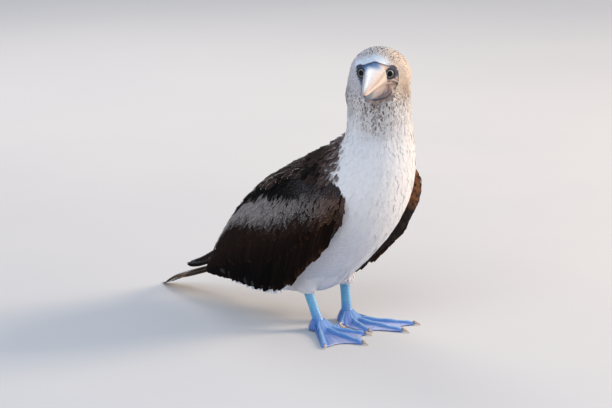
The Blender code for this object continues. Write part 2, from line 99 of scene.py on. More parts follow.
CLAW_LENGTH = {"outer": 8, "middle": 10, "inner": 8.5, "hind": 7}
SIDES = (("right", -1), ("left", 1))
FLESH = ["head", "neck", "trunk", "thigh_left", "thigh_right", "wing_left", "wing_right", "tail"]


# Places.

def head_to_bird(points):
    """The head's forward, left and up to the bird's ahead, left and up."""
    points = np.asarray(points, float).reshape(-1, 3)
    level = points[:, 0] * math.cos(HEAD_LIFT) - points[:, 2] * math.sin(HEAD_LIFT)
    up = points[:, 0] * math.sin(HEAD_LIFT) + points[:, 2] * math.cos(HEAD_LIFT)
    ahead = level * math.cos(HEAD_TURN) + points[:, 1] * math.sin(HEAD_TURN)
    left = -level * math.sin(HEAD_TURN) + points[:, 1] * math.cos(HEAD_TURN)
    return np.column_stack([ahead, left, up]) + HEAD_PLACE


def turn_from_head(ways):
    return head_to_bird(ways) - HEAD_PLACE


def bird_to_head(points):
    points = np.asarray(points, float).reshape(-1, 3) - HEAD_PLACE
    level = points[:, 0] * math.cos(HEAD_TURN) - points[:, 1] * math.sin(HEAD_TURN)
    left = points[:, 0] * math.sin(HEAD_TURN) + points[:, 1] * math.cos(HEAD_TURN)
    forward = level * math.cos(HEAD_LIFT) + points[:, 2] * math.sin(HEAD_LIFT)
    up = -level * math.sin(HEAD_LIFT) + points[:, 2] * math.cos(HEAD_LIFT)
    return np.column_stack([forward, left, up])


def eye_centre(sign):
    return head_to_bird((EYE_PLACE[0], sign * EYE_PLACE[1], EYE_PLACE[2]))[0]


def eye_gaze(sign):
    gaze = turn_from_head((math.cos(EYE_TURN), sign * math.sin(EYE_TURN), 0.02))[0]
    return gaze / np.linalg.norm(gaze)


eye_low, eye_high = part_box("eye_right")
eye_seen = (np.array(eye_low) + np.array(eye_high)) / 2
eye_meant = eye_centre(-1)
SHIFT = eye_seen - np.array([eye_meant[1], -eye_meant[0], eye_meant[2]]) * MM
SHIFT[2] = 0


def to_world(points):
    points = np.asarray(points, float).reshape(-1, 3)
    return np.column_stack([points[:, 1], -points[:, 0], points[:, 2]]) * MM + SHIFT


def to_bird(points):
    points = (np.asarray(points, float).reshape(-1, 3) - SHIFT) / MM
    return np.column_stack([-points[:, 1], points[:, 0], points[:, 2]])


def unit(ways):
    return ways / np.maximum(np.linalg.norm(ways, axis=-1, keepdims=True), 1e-9)


def flatten_on(ways, normals):
    """Ways laid along a surface."""
    return unit(ways - (ways * normals).sum(-1, keepdims=True) * normals)


def ease(low, high, value):
    share = np.clip((np.asarray(value, float) - low) / (high - low), 0, 1)
    return share * share * (3 - 2 * share)


def blend(first, second, share):
    share = np.asarray(share, float)[..., None]
    return np.asarray(first, float) * (1 - share) + np.asarray(second, float) * share


def paint(base, *coats):
    """A colour under coats of others, each given with its share."""
    for colour, share in coats:
        base = blend(base, colour, share)
    return base


def hill(value, middle, width):
    """1 at the middle, and falling away smoothly on both sides."""
    return np.exp(-((value - middle) / width) ** 2)


def read_line(line, at):
    """The value that a line of (where, value) pairs has at some places."""
    return np.interp(at, *np.transpose(line))


def full_turn(count):
    return np.linspace(0, 2 * math.pi, count, endpoint=False)


def tree_of(points):
    """A search tree for the nearest of the points."""
    tree = KDTree(len(points))
    for k, place in enumerate(points):
        tree.insert(place, k)
    tree.balance()
    return tree


def places_of(mesh):
    """Where the points of a mesh are, in the bird's own directions."""
    return to_bird(np.array([v.co for v in mesh.vertices]))


def smooth_rows(rows, count):
    """Rows read at even steps from a smooth curve that passes through all the given ones."""
    rows = np.asarray(rows, float)
    padded = np.vstack([2 * rows[0] - rows[1], rows, 2 * rows[-1] - rows[-2]])
    steps = np.linspace(0, len(rows) - 1, count)
    first = np.minimum(steps.astype(int), len(rows) - 2)
    t = (steps - first)[:, None]
    a, b, c, d = (padded[first + k] for k in range(4))
    return 0.5 * (2 * b + (c - a) * t + (2 * a - 5 * b + 4 * c - d) * t ** 2
                  + (3 * b - a - 3 * c + d) * t ** 3)


def ripple(points, size, seed=0):
    """Soft uneven waves from about -1 to 1 over the bird, with lumps of a given size."""
    waves = np.random.default_rng(100 + seed)
    total = 0
    for _ in range(7):
        way = waves.normal(size=3)
        way /= np.linalg.norm(way)
        total = total + np.sin(points @ way * (2 * math.pi / size) * waves.uniform(0.7, 1.5)
                               + waves.uniform(0, 6.28))
    return total / 3.2


# Finishes.

def hue(red, green, blue):
    """A colour as seen on a screen, from 0 to 255, as the light it gives back."""
    values = np.array([red, green, blue]) / 255
    return np.where(values < 0.04045, values / 12.92, ((values + 0.055) / 1.055) ** 2.4)


WHITE = hue(238, 237, 238)
SOFT_WHITE = hue(228, 226, 228)
CREAM = hue(229, 216, 204)
SAND = hue(196, 170, 148)
STREAK = hue(72, 54, 49)
CROWN_STREAK = hue(40, 29, 30)
MANTLE = hue(50, 38, 35)
MANTLE_EDGE = hue(184, 166, 154)
RUFOUS = hue(100, 66, 47)
# The grey of the wing's small coverts and their fringes, lightened by a painted sheen of light.
SHEEN_GREY = hue(152, 143, 139)
SHEEN_EDGE = hue(214, 206, 202)
CHOCOLATE = hue(44, 29, 23)
NEAR_BLACK = hue(10, 7, 7)
TAIL_BROWN = hue(58, 44, 38)
TAIL_WHITE = hue(214, 216, 222)
TAN = hue(176, 128, 84)
SLATE_PALE = hue(164, 178, 196)
DARK_RIM = hue(34, 38, 54)
TURQUOISE = hue(88, 160, 204)
LAVENDER = hue(116, 148, 218)
COBALT = hue(56, 110, 190)
ICE = hue(196, 214, 238)


class Wire:
    """A value inside a finish, which ordinary sums build on."""

    def __init__(self, finish, socket):
        self.finish = finish
        self.socket = socket

    def sum(self, operation, first, second):
        return self.finish.node("Math", {"operation": operation}, {0: first, 1: second})

    def __add__(self, other):
        return self.sum("ADD", self, other)

    def __sub__(self, other):
        return self.sum("SUBTRACT", self, other)

    def __rsub__(self, other):
        return self.sum("SUBTRACT", other, self)

    def __mul__(self, other):
        return self.sum("MULTIPLY", self, other)

    def __truediv__(self, other):
        return self.sum("DIVIDE", self, other)

    def __pow__(self, other):
        return self.sum("POWER", self, other)

    __radd__ = __add__
    __rmul__ = __mul__


class Finish:
    """A material whose nodes are written as sums."""

    def __init__(self, name, **constants):
        self.material = bpy.data.materials.new(name)
        self.material.use_nodes = True
        self.tree = self.material.node_tree
        self.shader = self.tree.nodes["Principled BSDF"]
        for socket, value in constants.items():
            self.shader.inputs[socket.replace("_", " ")].default_value = value

    def node(self, kind, settings=None, values=None, output=0):
        made = self.tree.nodes.new("ShaderNode" + kind)
        for key, value in (settings or {}).items():
            if key == "stops":
                self.set_stops(made.color_ramp, value)
            else:
                setattr(made, key, value)
        for key, value in (values or {}).items():
            self.feed(made.inputs[key], value)
        return Wire(self, made.outputs[output])

    def set_stops(self, ramp, stops):
        while len(ramp.elements) < len(stops):
            ramp.elements.new(0.5)
        for element, (place, colour) in zip(ramp.elements, stops):
            element.position = place
            element.color = (*colour, 1)

    def feed(self, socket, value):
        if isinstance(value, Wire):
            self.tree.links.new(value.socket, socket)
        elif np.ndim(value) and socket.type == "RGBA":
            socket.default_value = (*value, 1)
        else:
            socket.default_value = value

    def mix(self, first, second, share, way="MIX"):
        return self.node("Mix", {"data_type": "RGBA", "blend_type": way, "clamp_factor": True},
                         {0: share, 6: first, 7: second}, 2)

    def between(self, value, low, high):
        return self.node("MapRange", {"interpolation_type": "SMOOTHSTEP"},
                         {0: value, 1: low, 2: high, 3: 0.0, 4: 1.0})

    def noise(self, place, scale, detail=3.0, output=0):
        return self.node("TexNoise", {}, {"Vector": place, "Scale": scale, "Detail": detail}, output)

    def stretched_noise(self, place, detail):
        """Noise at a place that is made of three values."""
        return self.noise(self.node("CombineXYZ", {}, dict(enumerate(place))), 1.0, detail)

    def place(self):
        return self.node("TexCoord", {}, {}, "Object")

    def mark(self, name, output="Color"):
        return self.node("Attribute", {"attribute_name": name}, {}, output)

    def bump(self, height, strength, distance):
        made = self.node("Bump", {}, {"Height": height, "Strength": strength, "Distance": distance})
        self.feed(self.shader.inputs["Normal"], made)

    def colour(self, base, tone=1.0):
        """The base colour, made lighter or darker by a tone."""
        shade = self.node("VectorMath", {"operation": "SCALE"}, {0: base, "Scale": tone})
        self.feed(self.shader.inputs["Base Color"], shade)

    def roughness(self, value):
        self.feed(self.shader.inputs["Roughness"], value)


def feather_finish(name, fringe=(0.6, 0.95), streak=(0.1, 0.42), reach=(0.02, 0.3), patchy=0.0, barb=0.16,
                   rough=0.72, sheen=0.25, shine=0.3, one_side=False):
    """Vanes with a fringe, a streak down the shaft and fine barbs that run out and back from it."""
    finish = Finish(name, Roughness=rough, Sheen_Weight=sheen, Sheen_Roughness=0.5, Specular_IOR_Level=shine)
    vane = finish.node("UVMap", {"uv_map": "Vane"})
    across = finish.node("SeparateXYZ", {}, {0: vane}, "X")
    along = finish.node("SeparateXYZ", {}, {0: vane}, "Y")
    off = finish.node("Math", {"operation": "ABSOLUTE"}, {0: across * 2 - 1})
    chance = finish.mark("Chance", "Fac")
    ragged = finish.noise(finish.place(), 900.0, 2.0)
    rim = across ** 4.0 * finish.between(along, 0.15, 0.6) if one_side else off ** 3.0
    tip = along ** (9.0 if one_side else 5.0)
    edge = finish.node("Math", {"operation": "MAXIMUM"}, {0: rim, 1: tip})
    edge = finish.between(edge + (ragged - 0.5) * 0.35, *fringe)
    slim = 1 - finish.between(off + (ragged - 0.5) * 0.5, *streak)
    slim = slim * finish.between(along, *reach)
    slim = slim * (1 - finish.between(along + (ragged - 0.5) * 0.3, 0.84, 0.97))
    slim = slim * (finish.between(chance, 0.2, 0.8) * patchy + (1 - patchy))
    base = finish.mix(finish.mark("Ground"), finish.mark("Fringe"), edge)
    base = finish.mix(base, finish.mark("Shaft"), slim)
    barbs = finish.node("Math", {"operation": "SINE"}, {0: (along * 60 - off * 22) + chance * 40})
    lines = finish.stretched_noise((across * 3, along * 46 - off * 14, chance * 37), 2.0)
    finish.colour(base, 1 - barb + (lines * (barb * 1.2)) + (chance * (barb * 0.8)) + barbs * (barb * 0.12))
    finish.roughness(rough - 0.08 + lines * 0.2)
    finish.bump(barbs * 0.5 + lines, 0.35, 0.0004)
    return finish.material


def skin_finish():
    """The skin under the coat and on the bare face, in the same marks as the coat."""
    finish = Finish("bird_skin", Roughness=0.6, Specular_IOR_Level=0.35)
    place = finish.place()
    grain = finish.noise(place, 900.0, 4.0)
    spots = finish.noise(place, 260.0, 3.0)
    base = finish.mix(finish.mark("Ground"), finish.mark("Shaft"), finish.between(spots, 0.5, 0.64) * 0.6)
    finish.colour(base, 0.86 + grain * 0.28)
    finish.roughness(0.5 + grain * 0.3)
    finish.bump(grain + finish.noise(place, 2600.0, 2.0) * 0.5, 0.5, 0.0003)
    return finish.material


def leg_finish():
    """Smooth bare skin of the legs and webs, with small scales and fine creases."""
    finish = Finish("blue_leg_skin", Roughness=0.36, Specular_IOR_Level=0.5, Coat_Weight=0.25,
                    Coat_Roughness=0.22, Subsurface_Weight=0.12, Subsurface_Scale=0.004)
    finish.shader.inputs["Subsurface Radius"].default_value = (0.3, 0.6, 1.0)
    place = finish.place()
    scales = finish.node("TexVoronoi", {"feature": "DISTANCE_TO_EDGE"}, {"Vector": place, "Scale": 620.0})
    lines = finish.between(scales, 0.0, 0.12)
    cloud = finish.noise(place, 150.0, 3.0)
    fine = finish.noise(place, 1500.0, 3.0)
    base = finish.mix(finish.mark("Ground"), finish.mark("Fringe"), finish.between(cloud, 0.52, 0.72) * 0.35)
    base = finish.mix(base, finish.mark("Shaft"), (1 - lines) * 0.35)
    finish.colour(base, 0.9 + fine * 0.2)
    finish.roughness(0.28 + cloud * 0.2)
    finish.bump(lines * 0.6 + fine * 0.5, 0.45, 0.0004)
    return finish.material


def horn_finish(name, rough=0.38):
    """Bill and claw horn: fine lengthwise grain, small scuffs and cloudy tone."""
    finish = Finish(name, Roughness=rough, Specular_IOR_Level=0.5, Coat_Weight=0.15, Coat_Roughness=0.25)
    along = finish.mark("Along", "Fac")
    around = finish.mark("Around", "Fac")
    grain = finish.stretched_noise((along * 3, around * 90, 0.0), 5.0)
    place = finish.place()
    cloud = finish.noise(place, 130.0, 4.0)
    scuff = finish.between(finish.noise(place, 700.0, 5.0), 0.58, 0.74)
    base = finish.mix(finish.mark("Ground"), finish.mark("Shaft"), finish.between(cloud, 0.46, 0.68) * 0.4)
    base = finish.mix(base, finish.mark("Fringe"), scuff * 0.3)
    finish.colour(base, 0.88 + grain * 0.24)
    finish.roughness(rough - 0.05 + cloud * 0.18)
    finish.bump(grain + scuff * 0.4, 0.3, 0.0004)
    return finish.material


def eye_finish():
    """Black pupil, pale ringed iris with fine spokes and a dark outer ring, under a clear coat."""
    finish = Finish("eyeball", Roughness=0.3, Coat_Weight=0.28, Coat_Roughness=0.01, Specular_IOR_Level=0.05)
    turn = finish.mark("Along", "Fac")
    spoke = finish.stretched_noise((finish.mark("Around", "Fac") * 70, turn * 4, 0.0), 3.0)
    wheel = finish.node("ValToRGB", {"stops": (
        (0.0, hue(2, 2, 3)), (0.272, hue(3, 3, 4)), (0.286, hue(96, 94, 84)), (0.325, hue(186, 184, 170)),
        (0.355, hue(168, 166, 156)), (0.385, hue(56, 58, 62)), (0.415, hue(10, 10, 14)))}, {0: turn}, "Color")
    finish.colour(wheel, 0.72 + spoke * 0.5)
    finish.roughness(0.25 + spoke * 0.1)
    return finish.material


SKIN = skin_finish()
HEAD_COAT = feather_finish("head_coat", fringe=(0.6, 1.0), streak=(0.35, 0.85), reach=(0.2, 0.42),
                           patchy=0.7, barb=0.12, rough=0.8, sheen=0.15)
WHITE_COAT = feather_finish("white_coat", fringe=(0.4, 0.9), streak=(0.02, 0.2), barb=0.06, rough=0.85,
                            sheen=0.2)
MANTLE_COAT = feather_finish("mantle_coat", fringe=(0.42, 0.72), streak=(0.0, 0.16), barb=0.34, rough=0.8,
                             sheen=0.0, shine=0.05, one_side=True)
BROWN_COAT = feather_finish("brown_coat", fringe=(0.56, 0.84), streak=(0.0, 0.16), barb=0.34, rough=0.8,
                            sheen=0.0, shine=0.05)
FLIGHT_COAT = feather_finish("flight_coat", fringe=(0.7, 1.0), streak=(0.02, 0.09), barb=0.36, rough=0.75,
                             sheen=0.0, shine=0.04)
TAIL_COAT = feather_finish("tail_coat", fringe=(0.6, 0.95), streak=(0.0, 0.07), barb=0.3, rough=0.7,
                           sheen=0.0, shine=0.08)
LEG_SKIN = leg_finish()
BILL_HORN = horn_finish("bill_horn_finish")
CLAW_HORN = horn_finish("claw_horn_finish", 0.3)
EYE = eye_finish()


# Meshes.

def put_in_scene(name, data):
    piece = bpy.data.objects.new(name, data)
    bpy.context.scene.collection.objects.link(piece)
    return piece


def mesh_of(name, points, faces, finish, marks, maps=None):
    """An object from points in the bird's millimetres, four- or three-cornered faces, marks and maps."""
    mesh = bpy.data.meshes.new(name)
    faces = np.asarray(faces, np.int32)
    corners = faces.shape[1]
    mesh.vertices.add(len(points))
    mesh.vertices.foreach_set("co", to_world(points).astype(np.float32).ravel())
    mesh.loops.add(faces.size)
    mesh.loops.foreach_set("vertex_index", faces.ravel())
    mesh.polygons.add(len(faces))
    mesh.polygons.foreach_set("loop_start", np.arange(0, faces.size, corners, dtype=np.int32))
    mesh.update(calc_edges=True)
    add_marks(mesh, marks)
    for key, places in (maps or {}).items():
        layer = mesh.uv_layers.new(name=key)
        layer.data.foreach_set("uv", np.asarray(places, np.float32)[faces.ravel()].ravel())
    mesh.materials.append(finish)
    mesh.shade_smooth()
    return put_in_scene(name, mesh)


def add_marks(mesh, marks):
    for key, values in marks.items():
        values = np.asarray(values, np.float32)
        if values.ndim == 2:
            layer = mesh.color_attributes.new(key, "FLOAT_COLOR", "POINT")
            full = np.ones((len(values), 4), np.float32)
            full[:, :3] = values
            layer.data.foreach_set("color", full.ravel())
        else:
            layer = mesh.attributes.new(key, "FLOAT", "POINT")
            layer.data.foreach_set("value", values)


def marks_of(ground, shade, fringe, share=0.5, **more):
    """Marks from the ground colours: a darker shaft, and a fringe part of the way to another colour."""
    return {"Ground": ground, "Shaft": ground * shade, "Fringe": blend(ground, fringe, share), **more}


def place_piece(piece, nodes=(), crease=None):
    if crease:
        piece.data.set_sharp_from_angle(angle=math.radians(crease))
    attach(piece, "root")
    if nodes:
        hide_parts(*nodes)
    return piece


def rings_to_faces(count, around, closed=True):
    """Faces of a tube of rings, and the strips that close its two ends."""
    ring = np.arange(around if closed else around - 1)
    after = (ring + 1) % around
    steps = np.arange(count - 1)[:, None] * around
    faces = np.stack([steps + ring, steps + after, steps + around + after, steps + around + ring], -1)
    faces = faces.reshape(-1, 4)
    if not closed:
        return faces
    half = np.arange(around // 2 - 1)
    cap = np.stack([half, half + 1, around - 2 - half, around - 1 - half], -1)
    return np.vstack([faces, cap[:, ::-1], cap + (count - 1) * around])


def tube(name, rings, finish, marks):
    """A closed piece from an array of rings of points."""
    count, around = rings.shape[:2]
    faces = rings_to_faces(count, around)
    middle = rings.mean(axis=1)
    first = rings[count // 2]
    out = np.cross(first[1] - first[0], middle[count // 2 + 1] - middle[count // 2])
    if out @ (first[0] - middle[count // 2]) < 0:
        faces = faces[:, ::-1]
    return mesh_of(name, rings.reshape(-1, 3), faces, finish, marks)


# The body's own chart.

BACK_TO_BELLY = np.linspace(0, 1, 19)
BODY_LINES = smooth_rows(BODY_ROWS, 141)
CHART_STEPS = np.linspace(0, 1, len(BODY_LINES))
CHART_POINTS = (BODY_LINES[:, None, 0:2] * (1 - BACK_TO_BELLY[None, :, None])
                + BODY_LINES[:, None, 2:4] * BACK_TO_BELLY[None, :, None])
CHART_WAYS = -np.gradient(CHART_POINTS, axis=0)
CHART_TREE = tree_of([(ahead, up, 0) for ahead, up in CHART_POINTS.reshape(-1, 2)])


def body_chart(points):
    """Share from tail to head, share from back to belly, and the way that feathers lie, level and up."""
    found = np.array([CHART_TREE.find((ahead, up, 0))[1] for ahead, up in points[:, (0, 2)]])
    lines = len(BACK_TO_BELLY)
    ways = CHART_WAYS.reshape(-1, 2)[found]
    way = np.column_stack([ways[:, 0], np.zeros(len(points)), ways[:, 1]])
    return CHART_STEPS[found // lines], BACK_TO_BELLY[found % lines], unit(way)


def wrap_chart(points):
    """An unwrap of the body's own shape: round it, and along it from the tail to the head."""
    along, down, _ = body_chart(points)
    rows = BODY_LINES[np.round(along * (len(BODY_LINES) - 1)).astype(int)]
    across = np.clip((points[:, 1] - rows[:, 5]) / rows[:, 4], -1.2, 1.2)
    around = np.arctan2(across, (0.5 - down) * 2)
    high = ease(0.85, 1.0, along)
    extra = np.clip((points[:, 2] - 335) / 25, 0, 1) * high
    return np.column_stack([0.5 + around / (2 * math.pi) * 0.94, 0.02 + 0.9 * along + 0.05 * extra])


# The bare face.

# Its edge above and below, as (out from the middle, up), and how much narrower it is on the right by height.
FACE_TOP = ((0, 20.8), (2, 20.6), (5, 19.4), (10, 17.3), (14, 15.4), (16, 14.8), (19, 15.2), (22.5, 14.2),
            (24.5, 12.2), (26, 8.8), (27, 5))
FACE_BOTTOM = ((0, -25.8), (6, -25.2), (11.5, -23.8), (16.4, -21.3), (20.4, -17.3), (23.3, -13.6), (26, -10),
               (26.8, -8.5), (27, -6))
FACE_NARROW = ((-12, 1.62), (-8, 1.54), (-5, 1.43), (-0.3, 1.25), (3, 1.17), (12, 1.03))
FACE_HALF = 27
# Its lines in front view, as (out, up): under the eye, the mouth, the edge of the pouch.
UNDER_EYE = ((14.5, -1.2), (18, 0.6), (20.5, 0.8), (23.1, -1.1), (25.7, -6.3))
MOUTH = ((12, -3.6), (16.8, -3.2), (20.8, -4), (23.5, -5.6), (25.9, -7.6))
POUCH = ((25.7, -6.8), (24.4, -9.6), (21.9, -12.8), (19.2, -16.3), (15.6, -20.3), (11.1, -22.6), (0, -24.6))
# Where the middle of an eye is seen from the front, as (out, up).
EYE_SPOT = (18.2, 5.5)


def face_inset(points):
    """How far inside the edge of the bare face a place on the head is, in millimetres."""
    q = bird_to_head(points)
    side = np.abs(q[:, 1]) * np.where(q[:, 1] < 0, read_line(FACE_NARROW, q[:, 2]), 1.03)
    top = read_line(FACE_TOP, side) - q[:, 2]
    bottom = q[:, 2] - read_line(FACE_BOTTOM, side)
    inset = np.minimum(np.minimum(top, bottom), FACE_HALF - side)
    inset = np.minimum(inset, (q[:, 0] - 1) * 0.8)
    return np.where(q[:, 0] > -8, inset, -60)


def line_gap(q, line):
    """Distance in front view of places on the head from a line drawn alike on both sides."""
    spots = np.column_stack([np.abs(q[:, 1]), q[:, 2]])
    best = np.full(len(q), 1e9)
    for a, b in zip(np.array(line[:-1], float), np.array(line[1:], float)):
        share = np.clip(((spots - a) @ (b - a)) / ((b - a) @ (b - a)), 0, 1)
        best = np.minimum(best, np.linalg.norm(spots - a - share[:, None] * (b - a), axis=1))
    return best


# Marks of the plumage.

# How far ahead the brown of the back reaches, by height.
MANTLE_FRONT = ((60, -40), (100, 5), (128, 32), (150, 52), (180, 57), (199, 60), (211, 61), (223, 60),
                (235, 58), (247, 53), (256, 44), (263, 30))


def body_marks(points):
    """Ground, fringe and shaft colours of the feathers that grow anywhere on the trunk, neck and head."""
    ahead, left, up = points.T
    _, down, _ = body_chart(points)
    rough = ripple(points, 9, 1)
    fine = ripple(points, 4.5, 4)
    broad = ripple(points, 40, 2)
    q = bird_to_head(points)
    inset = face_inset(points)

    front = read_line(MANTLE_FRONT, up)
    brown = front - ahead + 3.5 * rough + 5 * fine + 5 * ripple(points, 2.4, 23)
    brown = ease(-4, 4, brown) * ease(112, 124, up + 40 * (down < 0.3))
    brown = brown * ease(268, 258, up)
    nape = ease(32, 21, np.abs(left + 5) + 3 * rough + 5 * fine)
    nape = nape * ease(219, 229, up + 4 * broad) * (down < 0.5)
    rump = ease(-128, -142, ahead + 6 * rough) * (down < 0.5)
    brown = brown * (1 - nape) * (1 - rump)

    streaky = ease(228, 288, up - 26 * ease(0.7, 0.2, down) + 6 * broad)
    middle = np.maximum(hill(q[:, 1], 0, 25) * (down > 0.45), ease(0.5, 0.3, down))
    high = ease(278, 300, up + 5 * fine)
    streaky = streaky * ((0.35 + 0.65 * middle) * (1 - high) + high)
    head = ease(292, 310, up)
    mottle = ease(0.0, 0.75, ripple(points, 6.5, 21)) * ease(310, 296, up)
    mottle = mottle * streaky * (0.25 + 0.75 * middle)
    pale_brow = ease(-9, -2, inset) * ease(9, 14, q[:, 2])
    pale_brow = pale_brow * ease(31, 23, -q[:, 1]) * ease(20, 10, q[:, 1])
    ear = hill(q[:, 0], 6, 8) * hill(q[:, 2], -13, 7) * ease(14, 24, np.abs(q[:, 1]))
    chin = ease(-8, -1, inset) * ease(-13, -20, q[:, 2])
    ground = paint(
        blend(WHITE, CREAM, np.clip(0.12 + 0.4 * streaky, 0, 1)),
        (SAND, np.clip(0.26 * head * (0.5 + 0.6 * broad), 0, 0.5)),
        # Painted light and shade on the head: cool grey on its right side as shade, warm peach on its left
        # side as warm light.
        (hue(206, 204, 212), 0.6 * ease(4, -20, q[:, 1]) * head),
        (hue(246, 212, 176), 0.55 * ease(6, 24, q[:, 1]) * head),
        # Greyer and bluer towards the bottom of the body: painted shade.
        (hue(200, 204, 214), 0.78 * ease(190, 115, up)),
        (hue(112, 100, 98), 0.62 * mottle),
        (hue(234, 244, 255), 0.9 * pale_brow),
        (hue(128, 96, 78), 0.62 * np.clip(ear, 0, 1)),
        (hue(150, 118, 100), 0.7 * chin))
    crown = ease(15, 24, q[:, 2])
    cheek = head * (1 - crown) * ease(-22, -10, q[:, 2])
    shaft = paint(ground, (STREAK, np.clip(streaky * (0.95 - 0.5 * cheek), 0, 1)),
                  (CROWN_STREAK, 0.9 * head * crown), (ground, 0.92 * pale_brow), (NEAR_BLACK, brown))
    fringe = paint(ground, (WHITE, 0.55 - 0.3 * mottle), (hue(120, 103, 97), brown))
    tail = ease(-150, -166, ahead) * ease(0.95, 0.8, down)
    ground = paint(ground, (blend(MANTLE, hue(116, 98, 93), np.clip(0.5 + 0.55 * fine, 0, 1)), brown),
                   (TAIL_BROWN, 0.8 * tail * ease(3, 8, np.abs(left))))
    return {"Ground": ground, "Fringe": fringe, "Shaft": shaft}, brown, inset


# How far down the folded wing each band reaches, by share of the way from its front to its tip.
SCAPULARS_END = ((0, 0.47), (0.13, 0.425), (0.22, 0.325), (0.33, 0.25), (0.43, 0.25), (0.52, 0.22),
                 (0.65, 0.125), (0.75, 0.08), (1, 0.03))
BLACK_END = ((0, 0.7), (0.12, 0.6), (0.22, 0.45), (0.32, 0.4), (0.4, 0.375), (0.48, 0.315), (0.57, 0.25),
             (0.7, 0.15), (1, 0.04))
GREY_END = ((0, 0.95), (0.117, 0.85), (0.15, 0.78), (0.233, 0.675), (0.333, 0.6), (0.417, 0.55),
            (0.483, 0.525), (0.567, 0.5), (0.633, 0.45), (0.733, 0.325), (1, 0.2))
COVERTS_END = ((0, 0.92), (0.1, 0.86), (0.2, 0.77), (0.35, 0.66), (0.5, 0.6), (0.63, 0.54), (0.75, 0.45),
               (1, 0.4))
# How far short of the end of their band the long feathers between back and wing have their roots.
SCAPULAR_REACH = 0.1
# The share of the wing, from its front, where small feathers reach down to the hem.
WING_FRONT = 0.16


def wing_marks(u, v, points, chance):
    """Colours of the small feathers on the outside of a folded wing, with a painted sheen on their grey band.
    """
    band = v + 0.025 * ripple(points, 12, 3) + 0.05 * (chance - 0.5)
    past_black = band - read_line(BLACK_END, u)
    past_grey = band - read_line(GREY_END, u)
    # The grey band is the coverts' own pale grey with a painted sheen of light on it, brighter towards the
    # back of the wing.
    grey = ease(-0.04, 0.03, past_black) * ease(0.04, -0.12, past_grey) * (0.26 + 0.74 * ease(0.1, 0.5, u))
    front = ease(0.34, 0.14, u) * ease(0.3, 0.7, v) * ease(0.0, 0.08, u + 0.08 * ease(0.6, 0.95, v))
    slate = blend(hue(52, 48, 50), hue(6, 5, 6), ease(0.26, 0.44, u))
    ground = paint(
        blend(hue(38, 25, 20), hue(98, 75, 62), front * (0.3 + 0.5 * chance)),
        (slate, ease(0.03, -0.04, past_black)),
        (SHEEN_GREY, grey * (0.42 + 0.3 * chance + 0.4 * ease(0.4, 0.75, u))),
        (RUFOUS, 0.3 * front),
        (NEAR_BLACK, 0.85 * ease(0.6, 0.9, v) * ease(0.01, 0.17, u)))
    fringe = paint(
        ground,
        (SHEEN_EDGE, 0.02 + 0.72 * grey + 0.16 * (past_black < 0) * ease(0.5, 0.3, u)),
        (hue(140, 96, 70), 0.4 * front * (past_black > 0)))
    return {"Ground": ground, "Fringe": fringe, "Shaft": blend(ground, NEAR_BLACK, 0.6)}


def scapular_marks(points, chance):
    """Colours of the long feathers between back and wing: brown, some black, some with pale tips."""
    rough = ripple(points, 11, 11)
    dark = np.clip(ease(-0.1, 0.5, ripple(points, 20, 8)) + 0.4 * (chance > 0.75), 0, 1)
    ground = blend(blend(MANTLE, hue(66, 52, 48), np.clip(0.4 + 0.4 * rough, 0, 1)), NEAR_BLACK, 0.9 * dark)
    behind = ease(22, -25, points[:, 0] + 0.25 * (points[:, 2] - 200))
    pale = np.clip(chance * 1.7 - 0.3, 0, 1) ** 1.2 * behind
    fringe = blend(ground, MANTLE_EDGE, 0.01 + 0.9 * pale)
    return {"Ground": ground, "Fringe": fringe, "Shaft": blend(ground, NEAR_BLACK, 0.7)}


# The wing's own chart.

class WingSheet:
    """The outer face of a folded wing, read by shares from front to back and from top to hem."""

    def __init__(self, sign):
        left_rows = LEFT_WING_BEND + WING_ROWS[len(LEFT_WING_BEND):]
        rows = smooth_rows(WING_ROWS if sign < 0 else left_rows, 61)
        top, hem = rows[:, None, :3], rows[:, None, 3:]
        drop = top[..., 2:] - hem[..., 2:]
        span = hem - top
        shoulder = top + np.concatenate([span[..., :1] * 0.3, span[..., 1:2] * 0.8, -drop * 0.1], -1)
        hang = hem + np.concatenate([-span[..., :1] * 0.3, drop * 0 + 3, drop * 0.45], -1)
        t = np.linspace(0, 1, 41)[None, :, None]
        grid = (top * (1 - t) ** 3 + shoulder * 3 * t * (1 - t) ** 2 + hang * 3 * t ** 2 * (1 - t)
                + hem * t ** 3)
        grid = grid * (1, sign, 1)
        self.grid = grid
        normals = unit(np.cross(np.gradient(grid, axis=0), np.gradient(grid, axis=1)))
        self.normals = normals * np.sign(normals[30, 20, 1] * sign)
        self.tree = tree_of(grid.reshape(-1, 3))

    def read(self, field, u, v):
        rows, lines = field.shape[0] - 1, field.shape[1] - 1
        i = np.clip((u * rows).astype(int), 0, rows - 1)
        j = np.clip((v * lines).astype(int), 0, lines - 1)
        a = (u * rows - i)[..., None]
        b = (v * lines - j)[..., None]
        return (field[i, j] * (1 - a) * (1 - b) + field[i + 1, j] * a * (1 - b)
                + field[i, j + 1] * (1 - a) * b + field[i + 1, j + 1] * a * b)

    def at(self, u, v):
        return self.read(self.grid, u, v), unit(self.read(self.normals, np.clip(u, 0, 1), np.clip(v, 0, 1)))

    def find(self, points):
        """Shares of the nearest places on the sheet, and how far off they are."""
        found = [self.tree.find(p) for p in points]
        index = np.array([f[1] for f in found])
        gap = np.array([f[2] for f in found])
        rows, lines = self.grid.shape[:2]
        u, v = index // lines / (rows - 1), index % lines / (lines - 1)
        return u, v, gap, self.normals.reshape(-1, 3)[index]


# Skin.

SKIN_VOXEL = 0.0019
# How far the solids are swelled before they become one skin, so that the gaps between them close.
SKIN_SWELL = 0.6


def node_tree(names):
    points, faces = [], []
    for name in names:
        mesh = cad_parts[name].data
        start = len(points)
        points += places_of(mesh).tolist()
        faces += [[start + k for k in face.vertices] for face in mesh.polygons]
    return BVHTree.FromPolygons(points, faces)


